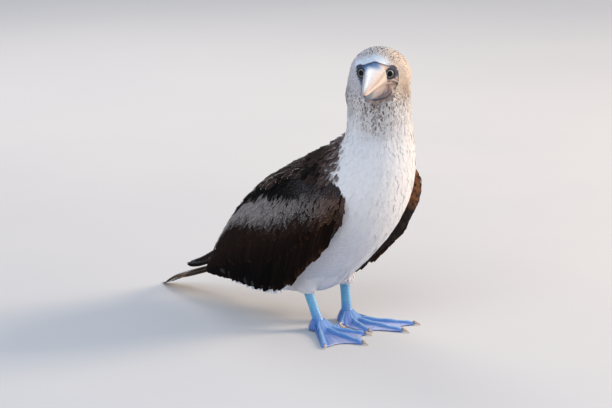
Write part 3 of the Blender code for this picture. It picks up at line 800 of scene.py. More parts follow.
def on_wing(points, sign):
    """True where a place is nearer the folded wing than the rest of the body."""
    own, rest = WING_TREES[sign], WING_TREES[0]
    return np.array([own.find_nearest(p)[3] < rest.find_nearest(p)[3] for p in points], bool)


def near_wing(points, sign, ahead=92, up=34):
    """Numbers of the places that lie on a folded wing, behind and above the given limits."""
    near = np.nonzero((points[:, 1] * sign > 8) & (points[:, 2] > up) & (points[:, 0] < ahead))[0]
    return near[on_wing(points[near], sign)]


def on_thigh(points, top, back, front):
    """True where a place lies in the box of the feathered thighs."""
    ahead, left, up = points.T
    return (up < top) & (ahead > back) & (ahead < front) & (np.abs(left) < 58)


def on_primaries(points):
    """1 where a place is on the folded tips of the wings, beyond the hanging feathers."""
    rows = smooth_rows(PRIMARY_ROWS, 60)
    on = np.zeros(len(points))
    middle = np.array([np.interp(-points[:, 0], -rows[:, 0], rows[:, k]) for k in range(1, 5)]).T
    for _, sign in SIDES:
        off = points[:, 1:] - np.column_stack([sign * middle[:, 0], middle[:, 1]])
        across = off @ (sign * math.cos(PRIMARY_TILT), -math.sin(PRIMARY_TILT))
        through = off @ (sign * math.sin(PRIMARY_TILT), math.cos(PRIMARY_TILT))
        near = (np.abs(across) < middle[:, 2] + 2.5) & (np.abs(through) < middle[:, 3] + 2.5)
        on = np.where(near & (points[:, 0] < -140) & (points[:, 0] > -252), 1.0, on)
    return on


def make_skin():
    """One skin for all the flesh, drawn in by the depth of the coat except on the bare face."""
    points, faces = [], []
    for name in FLESH:
        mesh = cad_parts[name].data
        start = sum(len(part) for part in points)
        place = np.array([v.co for v in mesh.vertices])
        normal = np.array([v.normal for v in mesh.vertices])
        points.append(place + normal * SKIN_SWELL * MM)
        faces += [[start + k for k in face.vertices] for face in mesh.polygons]
    mesh = bpy.data.meshes.new("body_skin")
    mesh.from_pydata(np.vstack(points).tolist(), [], faces)
    skin = put_in_scene("body_skin", mesh)
    remesh = skin.modifiers.new("remesh", "REMESH")
    remesh.mode = "VOXEL"
    remesh.voxel_size = SKIN_VOXEL
    smooth = skin.modifiers.new("smooth", "SMOOTH")
    smooth.factor = 0.6
    smooth.iterations = 9
    made = bpy.data.meshes.new_from_object(skin.evaluated_get(bpy.context.evaluated_depsgraph_get()))
    bpy.data.objects.remove(skin)
    places = places_of(made)
    fine_face(made, face_inset(places) > -4)
    places = places_of(made)
    normals = turn_normals(made)
    made.calc_loop_triangles()
    tree = BVHTree.FromPolygons(places.tolist(), [tuple(face.vertices) for face in made.loop_triangles])
    depth = np.array([tree.ray_cast(Vector(p - n * 0.05), Vector(-n), 30)[3] or 0.0
                      for p, n in zip(places, normals)])
    depth = np.where(depth == 0, 6, depth)
    inset = face_inset(places)
    ahead, _, up = places.T
    coat = 0.6 + 1.9 * ease(300, 240, up) * ease(50, 70, up) + 0.8 * ease(250, 310, up)
    thin = np.maximum(on_primaries(places), ease(-150, -175, ahead) * ease(75, 60, up))
    draw = np.minimum(coat, 0.3 * depth) * (1 - thin) + 0.42 * depth * thin
    draw = np.where(inset > -3, np.interp(inset, (-3, 0.5), (1.3, 0.25)), draw)
    waist = 2.8 * hill(up, 253, 11) - 2.6 * hill(up, 296, 10)
    draw = draw + waist * ease(8, -20, places[:, 1]) * (inset < -6)
    places = places - normals * draw[:, None] + normals * face_relief(places, inset)[:, None]
    shell = BVHTree.FromPolygons(places.tolist(), [tuple(face.vertices) for face in made.loop_triangles])
    for sign in (-1, 1):
        centre, gaze = eye_centre(sign), eye_gaze(sign)
        away = places - centre
        reach = np.maximum(np.linalg.norm(away, axis=1), 1e-6)
        angle = np.degrees(np.arccos(np.clip(away @ gaze / reach, -1, 1)))
        sink = ease(76, 52, angle) * (reach < 24)
        wanted = reach * (1 - sink) + np.minimum(reach, 6.2) * sink
        places = centre + away * (wanted / reach)[:, None]
    places[:, 2] = np.maximum(places[:, 2], 0.4)
    made.vertices.foreach_set("co", to_world(places).astype(np.float32).ravel())
    made.update()
    return made, shell


def turn_normals(mesh):
    flat = np.empty(len(mesh.vertices) * 3, np.float32)
    mesh.vertex_normals.foreach_get("vector", flat)
    normals = flat.reshape(-1, 3)
    return np.column_stack([-normals[:, 1], normals[:, 0], normals[:, 2]])


def fine_face(mesh, wanted):
    """Cuts the faces of the bare face finer, so that its lids and folds can be shaped."""
    shape = bmesh.new()
    shape.from_mesh(mesh)
    shape.verts.ensure_lookup_table()
    chosen = {shape.verts[k] for k in np.nonzero(wanted)[0]}
    for _ in range(2):
        edges = [edge for edge in shape.edges if edge.verts[0] in chosen and edge.verts[1] in chosen]
        cut = bmesh.ops.subdivide_edges(shape, edges=edges, cuts=1, use_grid_fill=True, smooth=0.0)
        chosen |= {item for item in cut["geom_inner"] if isinstance(item, bmesh.types.BMVert)}
    bmesh.ops.triangulate(shape, faces=[face for face in shape.faces if len(face.verts) > 4])
    shape.to_mesh(mesh)
    shape.free()


def face_relief(points, inset):
    """Folds of the bare face, in millimetres out from the skin."""
    q = bird_to_head(points)
    bare = ease(-0.5, 1.5, inset)
    mouth, lid_fold, pouch = (line_gap(q, line) for line in (MOUTH, UNDER_EYE, POUCH))
    relief = -1.3 * hill(mouth, 0, 0.8) + 0.5 * hill(mouth, 2.1, 1.0)
    relief = relief - 0.6 * hill(lid_fold, 0, 0.6) - 0.7 * hill(pouch, 0, 0.7)
    relief = relief + 0.6 * hill(pouch, 2.0, 1.1) * ease(-6, -10, q[:, 2])
    eye = np.linalg.norm(np.column_stack([np.abs(q[:, 1]) - EYE_SPOT[0], q[:, 2] - EYE_SPOT[1]]), axis=1)
    relief = relief + 0.5 * hill(eye, 8.2, 1.0) - 0.45 * hill(eye, 10.2, 0.8)
    relief = relief + 0.18 * np.sin(q[:, 2] * 2.6 + 0.25 * np.abs(q[:, 1])) * ease(-7, -12, q[:, 2])
    relief = relief + 0.12 * ripple(points, 3.2, 5)
    return relief * bare


def face_hues(points):
    """Colours of the bare skin between the feathers, the bill and the eyes, with painted light and shade in
    them.
    """
    q = bird_to_head(points)
    inset = face_inset(points)
    side, high = q[:, 1], q[:, 2]
    left = ease(-4, 9, side)
    top = ease(2, 8, high)
    low = ease(-1, -6, high)
    out, above = np.abs(side) - EYE_SPOT[0], high - EYE_SPOT[1]
    eye = np.hypot(np.where(out < 0, out * 2.5, out * 1.1), above * np.where(above > 0, 0.95, 1.25))
    rim = ease(1.9, 0.7, inset) * ease(-10, -4, high + 0.2 * np.abs(side) - 4.5 * ease(-10, -16, side))
    ridge_highlight = hill(line_gap(q, MOUTH), 2.0, 0.7) * ease(10, 13, np.abs(side)) * (high > -6)
    pleats = np.sin(high * 2.6 + 0.25 * np.abs(side)) * ease(-9, -14, high)
    crease_shade_hue = hue(52, 46, 54)
    return paint(
        # The skin's own slate and blue-grey, with warm peach on the left half as painted warm light and cool
        # blue-white on the right half as painted shade.
        blend(hue(204, 216, 234), hue(232, 198, 172), left),
        (hue(84, 122, 166), 0.95 * ease(8, 2.5, inset) * top * ease(10, 2, side)),
        (hue(128, 142, 166), 0.5 * ease(4.5, 1.5, inset) * top * left),
        (hue(84, 108, 134), 0.9 * ease(-9, -13, side) * ease(4, -2, high)),
        (hue(104, 86, 86), 0.85 * low * ease(9, 14, side) * ease(-12, -7, high)),
        (hue(128, 118, 124), 0.85 * ease(-8, -12, high) * left),
        (hue(122, 128, 140), 0.7 * ease(-10, -17, high) * ease(6, -2, side)),
        (hue(56, 66, 90), 0.9 * ease(9.4, 7.4, eye)),
        # A painted highlight on the ridge round the eye, on the left side only.
        (hue(150, 148, 160), 0.4 * hill(eye, 8.6, 0.7) * left),
        (DARK_RIM, 0.95 * rim),
        # Painted shade in the creases of the mouth, under the eye and at the edge of the pouch.
        (crease_shade_hue, 0.9 * hill(line_gap(q, MOUTH), 0, 0.9)),
        (crease_shade_hue, 0.85 * hill(line_gap(q, UNDER_EYE), 0, 0.7)),
        (crease_shade_hue, 0.9 * hill(line_gap(q, POUCH), 0, 0.9)),
        # A painted highlight on the ridge above the mouth, on the left side only.
        (hue(238, 210, 190), 0.6 * ridge_highlight * left),
        # Painted shade in the troughs of the throat's pleats.
        (hue(92, 88, 96), 0.3 * np.clip(-pleats, 0, 1)))


def skin_marks(mesh):
    """The coat's marks on the skin, painted light and shade on the inner faces of the wings, and the colours
    of the bare face.
    """
    places = places_of(mesh)
    marks, _, inset = body_marks(places)
    normals = turn_normals(mesh)
    for sign in (-1, 1):
        sheet = SHEETS[sign]
        near = near_wing(places, sign, 95, 30)
        u, v, gap, line = sheet.find(places[near])
        colours = wing_marks(u, v, places[near], np.full(len(near), 0.4))
        # Where the skin faces in under a wing: dark brown, with paler quills as painted light that fades to
        # painted shade towards the bottom, and a painted warm highlight along the front of the left wing.
        inner = ease(0.1, -0.3, (line * normals[near]).sum(1))
        quills = np.abs(np.sin(u * 95 + 9 * v + 0.8 * ripple(places[near], 14, 15)))
        low = 0.3 + 0.7 * ease(128, 160, places[near, 2])
        lit = 0.75 * low * ease(0.25, 0.9, quills) * (0.6 + 0.5 * ripple(places[near], 12, 17)).clip(0, 1)
        rim = ease(7, 3, gap) * ease(0.5, 0.2, u) * (sign > 0) * ease(138, 160, places[near, 2])
        rim = rim * (0.35 + 0.65 * quills) * (0.6 + 0.4 * ripple(places[near], 9, 16)).clip(0, 1)
        under = paint(hue(20, 13, 11), (hue(104, 76, 58), lit), (hue(196, 132, 86), rim))
        for key in marks:
            marks[key][near] = blend(colours[key], under, inner)
    tips = on_primaries(places)
    tail = ease(-165, -172, places[:, 0]) * ease(72, 66, places[:, 2]) * (1 - tips)
    pale = tail * ease(6, 3, np.abs(places[:, 1]))
    thigh = on_thigh(places, 96, -45, 24)
    for key in marks:
        marks[key] = paint(marks[key], (NEAR_BLACK, tips), (TAIL_BROWN, tail), (TAIL_WHITE, 0.8 * pale))
        marks[key][thigh] = SOFT_WHITE
    bare = ease(-0.6, 0.3, inset)
    ground = face_hues(places)
    marks["Ground"] = blend(marks["Ground"], ground, bare)
    marks["Shaft"] = blend(marks["Shaft"], ground * 0.7, bare)
    del marks["Fringe"]
    return marks


class Ground:
    """The skin that feathers grow from and lie along."""

    def __init__(self, mesh):
        self.points = places_of(mesh)
        mesh.calc_loop_triangles()
        flat = np.empty(len(mesh.loop_triangles) * 3, np.int32)
        mesh.loop_triangles.foreach_get("vertices", flat)
        self.faces = flat.reshape(-1, 3)
        self.normals = turn_normals(mesh)
        self.tree = BVHTree.FromPolygons(self.points.tolist(), self.faces.tolist())

    def settle(self, points):
        """Nearest places on the skin, and its smooth normals there."""
        shape = points.shape
        flat = points.reshape(-1, 3)
        found = [self.tree.find_nearest(p) for p in flat]
        places = np.array([f[0] for f in found])
        normals = self.normals[self.faces[[f[2] for f in found]]].mean(axis=1)
        return places.reshape(shape), unit(normals).reshape(shape)

    def scatter(self, spacing_of, fullness, rng):
        """Roots spread evenly over the skin, as far apart as spacing_of says."""
        corners = self.points[self.faces]
        first, second = corners[:, 1] - corners[:, 0], corners[:, 2] - corners[:, 0]
        area = np.linalg.norm(np.cross(first, second), axis=1) / 2
        middle = corners.mean(axis=1)
        spacing = spacing_of(middle)
        weight = np.where(spacing > 0, area / np.maximum(spacing, 0.5) ** 2, 0)
        count = int(weight.sum() * fullness)
        chosen = rng.choice(len(weight), count, p=weight / weight.sum())
        share = rng.random((count, 2))
        share = np.where(share.sum(1, keepdims=True) > 1, 1 - share, share)
        places = corners[chosen, 0] + share[:, :1] * first[chosen] + share[:, 1:] * second[chosen]
        reach = spacing[chosen]
        tree = tree_of(places)
        alive = np.ones(count, bool)
        for k in range(count):
            if alive[k]:
                for _, other, _ in tree.find_range(places[k], reach[k]):
                    if other > k:
                        alive[other] = False
        normals = unit(self.normals[self.faces[chosen[alive]]].mean(axis=1))
        return places[alive], normals


# Feathers.

# Vanes by share of their length with their width, and sections by share across with their height.
SMALL_VANE = ((0, 0.4), (0.38, 0.95), (0.78, 0.9), (1, 0.3))
POINTED_VANE = ((0, 0.35), (0.28, 0.85), (0.58, 1), (0.84, 0.72), (1, 0.14))
SMALL_SECTION = ((-1, 0), (0, 1), (1, 0), (0, -0.2))
FLIGHT_SECTION = ((-1, 0), (-0.55, 0.6), (-0.06, 0.88), (0, 1.3), (0.06, 0.88), (0.55, 0.6), (1, 0), (0, 0.3))


def vanes(paths, normals, half_widths, shares, section, camber, tilt=0.0):
    """Feathers along paths: points of each feather, row by row and round its section."""
    ways = unit(np.gradient(paths, axis=1))
    sides = unit(np.cross(ways, normals))
    over = unit(np.cross(sides, ways))
    tilt = np.broadcast_to(tilt, len(paths))[:, None, None]
    tipped = sides * np.cos(tilt) + over * np.sin(tilt)
    section = np.array(section)
    wide = half_widths[:, :, None, None]
    rise = np.broadcast_to(np.asarray(camber, float).reshape(-1, 1, 1, 1), (len(paths), 1, 1, 1))
    swell = np.sqrt(np.clip(wide / np.maximum(wide.max(axis=1, keepdims=True), 1e-9), 0, 1))
    points = (paths[:, :, None] + tipped[:, :, None] * section[None, None, :, :1] * wide
              + over[:, :, None] * section[None, None, :, 1:] * rise * swell)
    rows, around = points.shape[1:3]
    across = (section[:, 0] + 1) / 2
    vane = np.stack(np.broadcast_arrays(across[None, None, :], shares[..., None]), -1)
    vane = np.broadcast_to(vane, (len(paths), rows, around, 2))
    faces = rings_to_faces(rows, around)
    every = (np.arange(len(paths)) * rows * around)[:, None, None] + faces[None]
    return points.reshape(-1, 3), every.reshape(-1, 4), vane.reshape(-1, 2)


def feather_piece(name, finish, paths, normals, half_widths, shares, colours, chart, rng,
                  section=SMALL_SECTION, camber=0.5, tilt=0.0):
    """One coat piece: vanes with their colours and the bake's map, where each is a small patch."""
    points, faces, vane = vanes(paths, normals, half_widths, shares, section, camber, tilt)
    each = len(points) // len(paths)
    patch = np.repeat(chart, each, axis=0) + (vane - 0.5) * 0.003
    around = len(section)
    marks = {key: np.repeat(values, each, axis=0) if values.ndim == 2
             else np.repeat(values.reshape(-1, 3), around, axis=0) for key, values in colours.items()}
    marks["Chance"] = np.repeat(rng.random(len(paths)), each)
    points[:, 2] = np.maximum(points[:, 2], 0.15)
    piece = mesh_of(name, points, faces[:, ::-1], finish, marks, {"Vane": vane, "OFBake": patch})
    return place_piece(piece, crease=50)


def lay(ground, roots, normals, ways, lengths, rows, low, high, rng, spread=0.2):
    """Paths that start in the skin and run along it, a little higher towards their tips."""
    turn = rng.normal(0, spread, len(roots))[:, None]
    ways = flatten_on(ways, normals)
    ways = unit(ways + np.cross(normals, ways) * turn)
    shares = np.array([row[0] for row in rows])
    paths = [roots]
    lines = [normals]
    place, line = roots, normals
    for k in range(1, len(rows)):
        step = (shares[k] - shares[k - 1]) * lengths[:, None]
        place, line_next = ground.settle(place + ways * step)
        line = unit(line * 0.35 + line_next * 0.65)
        ways = flatten_on(ways, line)
        paths.append(place)
        lines.append(line)
    paths, lines = np.stack(paths, 1), np.stack(lines, 1)
    lift = low + (high - low) * shares[None, :] ** 0.8
    lift = lift * rng.uniform(0.82, 1.18, len(roots))[:, None]
    return paths + lines * lift[..., None], lines, shares


# Heights where the neck's and the head's feathers begin, and where the coat ends below and behind.
NECK_FROM = 236
HEAD_FROM = 296
COAT_HEM = 47
COAT_END = -186


def head_ways(points):
    """How the head's feathers lie: back from the bill over crown and cheeks, then down nape and throat."""
    q = bird_to_head(points)
    back = ease(4, -26, q[:, 0])
    throat = ease(-10, -26, q[:, 2])
    apart = 0.35 * np.sign(q[:, 1]) * ease(2, 14, np.abs(q[:, 1])) * (1 - back)
    rise = -0.25 - 1.6 * back - 1.3 * throat + 0.8 * ease(8, 20, q[:, 2]) * ease(-2, 14, q[:, 0])
    return unit(turn_from_head(np.column_stack([-np.ones(len(q)), apart, rise])))


def coat_regions(ground, points, normals):
    """The name of the coat that grows at each place, which is bare where none does."""
    inset = face_inset(points)
    ahead, left, up = points.T
    region = np.full(len(points), "breast", "U6")
    region[up > NECK_FROM] = "neck"
    region[up > HEAD_FROM] = "head"
    region[on_thigh(points, 70, -42, 22) & (np.abs(left) > 12)] = "thighs"
    region[(inset > -0.3) | (ahead < COAT_END) | (up < COAT_HEM)] = "bare"
    body = np.nonzero(region == "breast")[0]
    hidden = [ground.tree.ray_cast(Vector(points[k] + normals[k] * 0.8), Vector(normals[k]), 9)[0] is not None
              for k in body]
    region[body[np.array(hidden, bool)]] = "bare"
    for side, sign in SIDES:
        near = near_wing(points, sign)
        u, v, gap, line = SHEETS[sign].find(points[near])
        facing = (line * normals[near]).sum(1)
        on = (facing > np.where(u < 0.12, -0.6, 0.1)) & (gap < 8)
        region[near] = "bare"
        region[near[on]] = side
        region[near[on & (v < read_line(SCAPULARS_END, u) - SCAPULAR_REACH)]] = "mantle"
    return region, inset


def spacing_on_body(points):
    """How far apart feathers grow, by place; 0 where none do."""
    inset = face_inset(points)
    ahead, _, up = points.T
    spacing = np.interp(up, (45, 70, 90, 200, 236, 285, 300), (2.4, 2.7, 3.6, 3.4, 3.1, 2.7, 2.5))
    front = read_line(MANTLE_FRONT, up)
    back = np.interp(front - ahead, (-8, 12, 50, 120), (2.2, 2.7, 4.2, 5.2))
    spacing = np.where((up > 112) & (up < 262) & (front > ahead - 8), back, spacing)
    near_face = np.interp(-inset, (0, 6, 16), (1.25, 1.7, 2.5))
    spacing = np.where(up > 300, near_face, spacing)
    for sign in (-1, 1):
        near = near_wing(points, sign)
        u, v, _, _ = SHEETS[sign].find(points[near])
        small = np.interp(v, (0, 0.4, 0.6, 0.8), (2.6, 2.5, 2.7, 2.9))
        scapular = np.interp(u, (0, 0.15, 0.4, 1), (3.0, 3.8, 4.9, 5.4))
        wing = np.where(v < read_line(SCAPULARS_END, u) - SCAPULAR_REACH, scapular, small)
        wing = np.where(v > read_line(COVERTS_END, u), np.where(u < WING_FRONT, 3.0, 0), wing)
        spacing[near] = np.where((v > 0.985) & (u > 0.12), 0, wing)
    spacing[(inset > -0.3) | (up < COAT_HEM - 1) | (ahead < COAT_END)] = 0
    return spacing


def make_coat(ground):
    rng = np.random.default_rng(SEED)
    roots, normals = ground.scatter(spacing_on_body, 3.2, rng)
    region, inset = coat_regions(ground, roots, normals)
    _, _, body_way = body_chart(roots)
    marks, brown, _ = body_marks(roots)
    scapular_spot = region == "mantle"
    region[((region == "breast") | (region == "neck")) & (brown > 0.5)] = "mantle"
    high = ease(292, 312, roots[:, 2])
    ways = unit(blend(body_way, head_ways(roots), high))
    chart = wrap_chart(roots)

    def grow(part, finish, lengths, width, rows, low, rise, spread, camber, colours=marks, places=chart,
             way=ways, prefix="coat_"):
        chosen = np.nonzero(region == part)[0]
        size = lengths[chosen] * rng.uniform(0.85, 1.15, len(chosen))
        high = np.broadcast_to(rise, len(roots))[chosen][:, None]
        paths, lines, shares = lay(ground, roots[chosen], normals[chosen], way[chosen], size, rows, low, high,
                                   rng, spread)
        wide = size[:, None] * width * np.array([row[1] for row in rows])[None, :]
        own = {key: values[chosen] for key, values in colours.items()}
        feather_piece(prefix + part, finish, paths, lines, wide, shares, own, places[chosen], rng,
                      camber=camber)

    up = roots[:, 2]
    head_size = np.interp(-inset, (0, 4, 14, 26), (2.6, 3.8, 6.0, 7.2))
    grow("head", HEAD_COAT, head_size, 0.24, SMALL_VANE, 0.2, 1.0, 0.3, 0.22)
    neck_size = np.interp(up, (NECK_FROM, HEAD_FROM), (9.5, 7.4))
    grow("neck", HEAD_COAT, neck_size, 0.24, SMALL_VANE, 0.1, 0.85, 0.28, 0.18)
    body_size = np.interp(up, (60, 110, 200, 236), (14, 15, 12.5, 10.5))
    white = np.nonzero(region == "breast")[0]
    ends = roots[white] + flatten_on(ways[white], normals[white]) * body_size[white, None]
    region[white[on_wing(ends, -1) | on_wing(ends, 1)]] = "bare"
    grow("breast", WHITE_COAT, body_size, 0.24, SMALL_VANE, 0.0, 0.65, 0.2, 0.12)
    front = read_line(MANTLE_FRONT, up)
    mantle_size = np.interp(front - roots[:, 0], (-8, 8, 50, 110), (5.5, 8, 15, 19))
    luck = rng.random(len(roots))
    dark = scapular_marks(roots, luck)
    deep = ease(4, 30, front - roots[:, 0]) * ease(262, 246, up) * (brown > 0.5)
    scapular = {key: blend(marks[key], dark[key], np.maximum(deep, scapular_spot)) for key in marks}
    grow("mantle", MANTLE_COAT, mantle_size, 0.23, POINTED_VANE, 0.5, 3.4, 0.24, 0.4,
         scapular)
    down_way = np.tile((-0.1, 0, -1.0), (len(roots), 1))
    soft = {key: np.tile(SOFT_WHITE, (len(roots), 1)) for key in marks}
    thigh_size = np.interp(up, (46, 60, 90), (6, 9, 13))
    grow("thighs", WHITE_COAT, thigh_size, 0.26, SMALL_VANE, 0.0, 1.4, 0.25, 0.25, soft,
         way=down_way)
    for side, sign in SIDES:
        on = region == side
        u, v = np.zeros((2, len(roots)))
        u[on], v[on], _, _ = SHEETS[sign].find(roots[on])
        colours = wing_marks(u, v, roots, rng.random(len(roots)))
        size = np.interp(v, (0, 0.4, 0.6, 0.8), (8.5, 9.5, 11.5, 13))
        size = np.where(u < WING_FRONT, np.minimum(size, 8.5), size)
        back = -0.22 - 0.45 * ease(0.5, 0.9, v) * ease(0.5, 0.1, u)
        lean = np.column_stack([back, np.zeros(len(u)), -np.ones(len(u))])
        places = np.column_stack([0.03 + 0.94 * u, 0.03 + 0.94 * v])
        lift = 1.1 + 1.4 * ease(0.02, 0.2, u)
        grow(side, BROWN_COAT, size, 0.17, SMALL_VANE, 0.7, lift, 0.2, 0.25, colours,
             places, lean, "coat_wing_")


def flight_path(sheet, starts, ends, steps, lifts):
    """Long feathers of the wing from shares on its sheet to shares on its edge."""
    share = np.linspace(0, 1, steps)[None, :]
    bow = 0.05 * np.sin(math.pi * share)
    u = starts[:, :1] + (ends[:, :1] - starts[:, :1]) * share ** 1.15
    v = starts[:, 1:] + (ends[:, 1:] - starts[:, 1:]) * (share + bow * 0.6)
    places, normals = sheet.at(u, v)
    return places + normals * lifts[:, :, None], normals, np.broadcast_to(share, u.shape)


def flight_widths(shares, tip=0.75):
    """Width share of a long feather: slim quill, parallel sides and a rounded tip."""
    quill = 0.35 + 0.65 * ease(0, 0.3, shares)
    end = 1 - ((shares - tip).clip(0) / (1.001 - tip)) ** 2.4
    return quill * np.sqrt(np.clip(end, 0.01, 1))


# Rows of feathers that hang from the wing: how many, their start along and down it, their length as a share
# of the way to the hem, their half width, how high their quills lie, and how far they rise to the tip.
FLIGHT_ROWS = (
    (48, 0.0, 0.4, 1.0, 7.2, -1.5, 1.1), (42, 0.15, 0.4, 0.66, 6.0, -1.1, 1.1),
    (46, 0.17, 0.38, 0.42, 5.0, -0.7, 1.1),
)


def make_flight(side, sign, rng):
    """Hanging secondaries and two rows of greater coverts on the wing's sheet, and the down at its hem."""
    sheet = SHEETS[sign]
    steps = 15
    share = np.linspace(0, 1, steps)[None, :]
    parts = {key: [] for key in ("paths", "lines", "shares", "wides", "Ground", "Fringe", "charts")}

    def add(starts, ends, width, lift, tone, rust, tip):
        place, line, along = flight_path(sheet, starts, ends, steps, lift)
        v = starts[:, 1:] + (ends[:, 1:] - starts[:, 1:]) * share
        dark = np.clip(ease(0.5, 0.92, v) + tone[:, None], 0, 1)
        # The front feathers are rufous-edged of their own; the much warmer tone on the left wing is painted
        # warm light.
        rufous_and_warm_light = (0.25 if sign < 0 else 0.9) * ease(0.45, 0.05, starts[:, :1])
        base = paint(hue(36, 23, 18), (hue(6, 4, 4), dark),
                     (hue(94, 62, 44), rufous_and_warm_light * (0.45 if sign > 0 else 0.2)))
        parts["paths"].append(place)
        parts["lines"].append(line)
        parts["shares"].append(along)
        parts["wides"].append(flight_widths(along, tip) * np.broadcast_to(width, len(starts))[:, None])
        parts["Ground"].append(base)
        parts["Fringe"].append(blend(base, hue(112, 72, 50), rust[:, None] * 0.5 + 0.3 * rufous_and_warm_light))
        parts["charts"].append(0.03 + 0.94 * starts.clip(0, 1))

    for count, first, high, length, width, low, rise in FLIGHT_ROWS:
        u0 = np.linspace(first, 0.98, count) + rng.normal(0, 0.004, count)
        v0 = np.full(count, high) + rng.normal(0, 0.01, count)
        front = ease(0.2, 0.0, u0)
        u1 = 0.31 + 0.69 * u0 ** 1.05 - 0.04 * front
        stretch = length * (1 + rng.normal(0, 0.015 if length == 1 else 0.035, count))
        u_end = u0 + (u1 - u0) * stretch
        v_end = v0 + (1.0 - v0) * stretch
        v_end = v_end - np.maximum(u_end - 1.0, 0) * 2
        lift = low - 0.9 * front[:, None] * (1 - ease(0.2, 0.55, share)) + rise * share
        lift = lift + rng.uniform(-0.12, 0.18, (count, 1))
        add(np.column_stack([u0, v0]), np.column_stack([np.minimum(u_end, 1.0), v_end]),
            width * rng.uniform(0.9, 1.1, count), lift, rng.normal(0, 0.1, count),
            np.clip(rng.normal(0.16, 0.12, count) + 0.3 * front, 0, 0.7), 0.86)
    add(np.array([[0.25, 0.62]]), np.array([[0.285, 0.835]]), 5.2, -0.6 + 1.9 * share, np.array([-0.6]),
        np.array([0.8]), 0.66)
    whole = {key: np.vstack(values) for key, values in parts.items()}
    colours = {"Ground": whole["Ground"], "Fringe": whole["Fringe"], "Shaft": whole["Ground"] * 0.6}
    feather_piece("flight_feathers_" + side, FLIGHT_COAT, whole["paths"], whole["lines"],
                  whole["wides"], whole["shares"], colours, whole["charts"], rng, FLIGHT_SECTION, 0.4, 0.05)
    if sign < 0:
        make_hem_down(side, sheet, rng)


def make_hem_down(side, sheet, rng):
    """Small white tufts that show below the hem of the wing."""
    count = 46
    u = np.sort(rng.uniform(0.46, 0.78, count))
    starts = np.column_stack([u, rng.uniform(0.93, 0.96, count)])
    ends = np.column_stack([u + rng.normal(0.015, 0.012, count), rng.uniform(0.99, 1.015, count)])
    place, line, along = flight_path(sheet, starts, ends, 4, np.full((count, 4), -2.2))
    place[:, :, 2] -= 2.2 * along
    white = np.tile(hue(214, 216, 222), (count, 1))
    wide = np.array([1.6, 2.5, 2.3, 1.0]) * rng.uniform(0.7, 1.2, (count, 1))
    feather_piece("hem_down_" + side, WHITE_COAT, place, line, wide, along,
                  {"Ground": white, "Fringe": white, "Shaft": white * 0.9}, 0.03 + 0.94 * starts, rng,
                  camber=0.25)


def make_primaries(side, sign, rng):
    """The folded primaries as a stack of long narrow feathers, the longest lowest."""
    rows = smooth_rows(PRIMARY_ROWS, 60)
    count = 7
    steps = 22
    paths, lines, wides = [], [], []
    across_way = np.array([0, sign * math.cos(PRIMARY_TILT), -math.sin(PRIMARY_TILT)])
    through = np.array([0, sign * math.sin(PRIMARY_TILT), math.cos(PRIMARY_TILT)])
    for k in range(count):
        end = 1 - 0.085 * k
        place = np.linspace(0, end, steps) * (len(rows) - 1)
        row = np.array([np.interp(place, np.arange(len(rows)), rows[:, c]) for c in range(5)]).T
        slide = (0.5 - k / (count - 1)) * 0.9
        share = np.linspace(0, 1, steps)
        middle = np.column_stack([row[:, 0], sign * row[:, 1], row[:, 2]])
        middle = middle + across_way * (slide * row[:, 3] * 0.8)[:, None] * (1 - 0.4 * share[:, None])
        middle = middle + through * (-1.7 + 0.62 * k)
        paths.append(middle)
        lines.append(np.tile(through, (steps, 1)))
        wides.append(np.minimum(row[:, 3] * 0.75, 8.5) * flight_widths(share, 0.6))
    base = blend(np.tile(NEAR_BLACK, (count, 1)), CHOCOLATE, np.linspace(0, 0.5, count))
    colours = {"Ground": base, "Fringe": blend(base, TAIL_BROWN, np.full(count, 0.5)), "Shaft": base * 0.5}
    chart = np.column_stack([np.linspace(0.1, 0.9, count), np.full(count, 0.5)])
    shares = np.broadcast_to(np.linspace(0, 1, steps), (count, steps))
    feather_piece("primaries_" + side, FLIGHT_COAT, np.array(paths), np.array(lines),
                  np.array(wides), shares, colours, chart, rng, FLIGHT_SECTION, 0.8)


TAIL_ROOT = -108
TAIL_TIP = -301


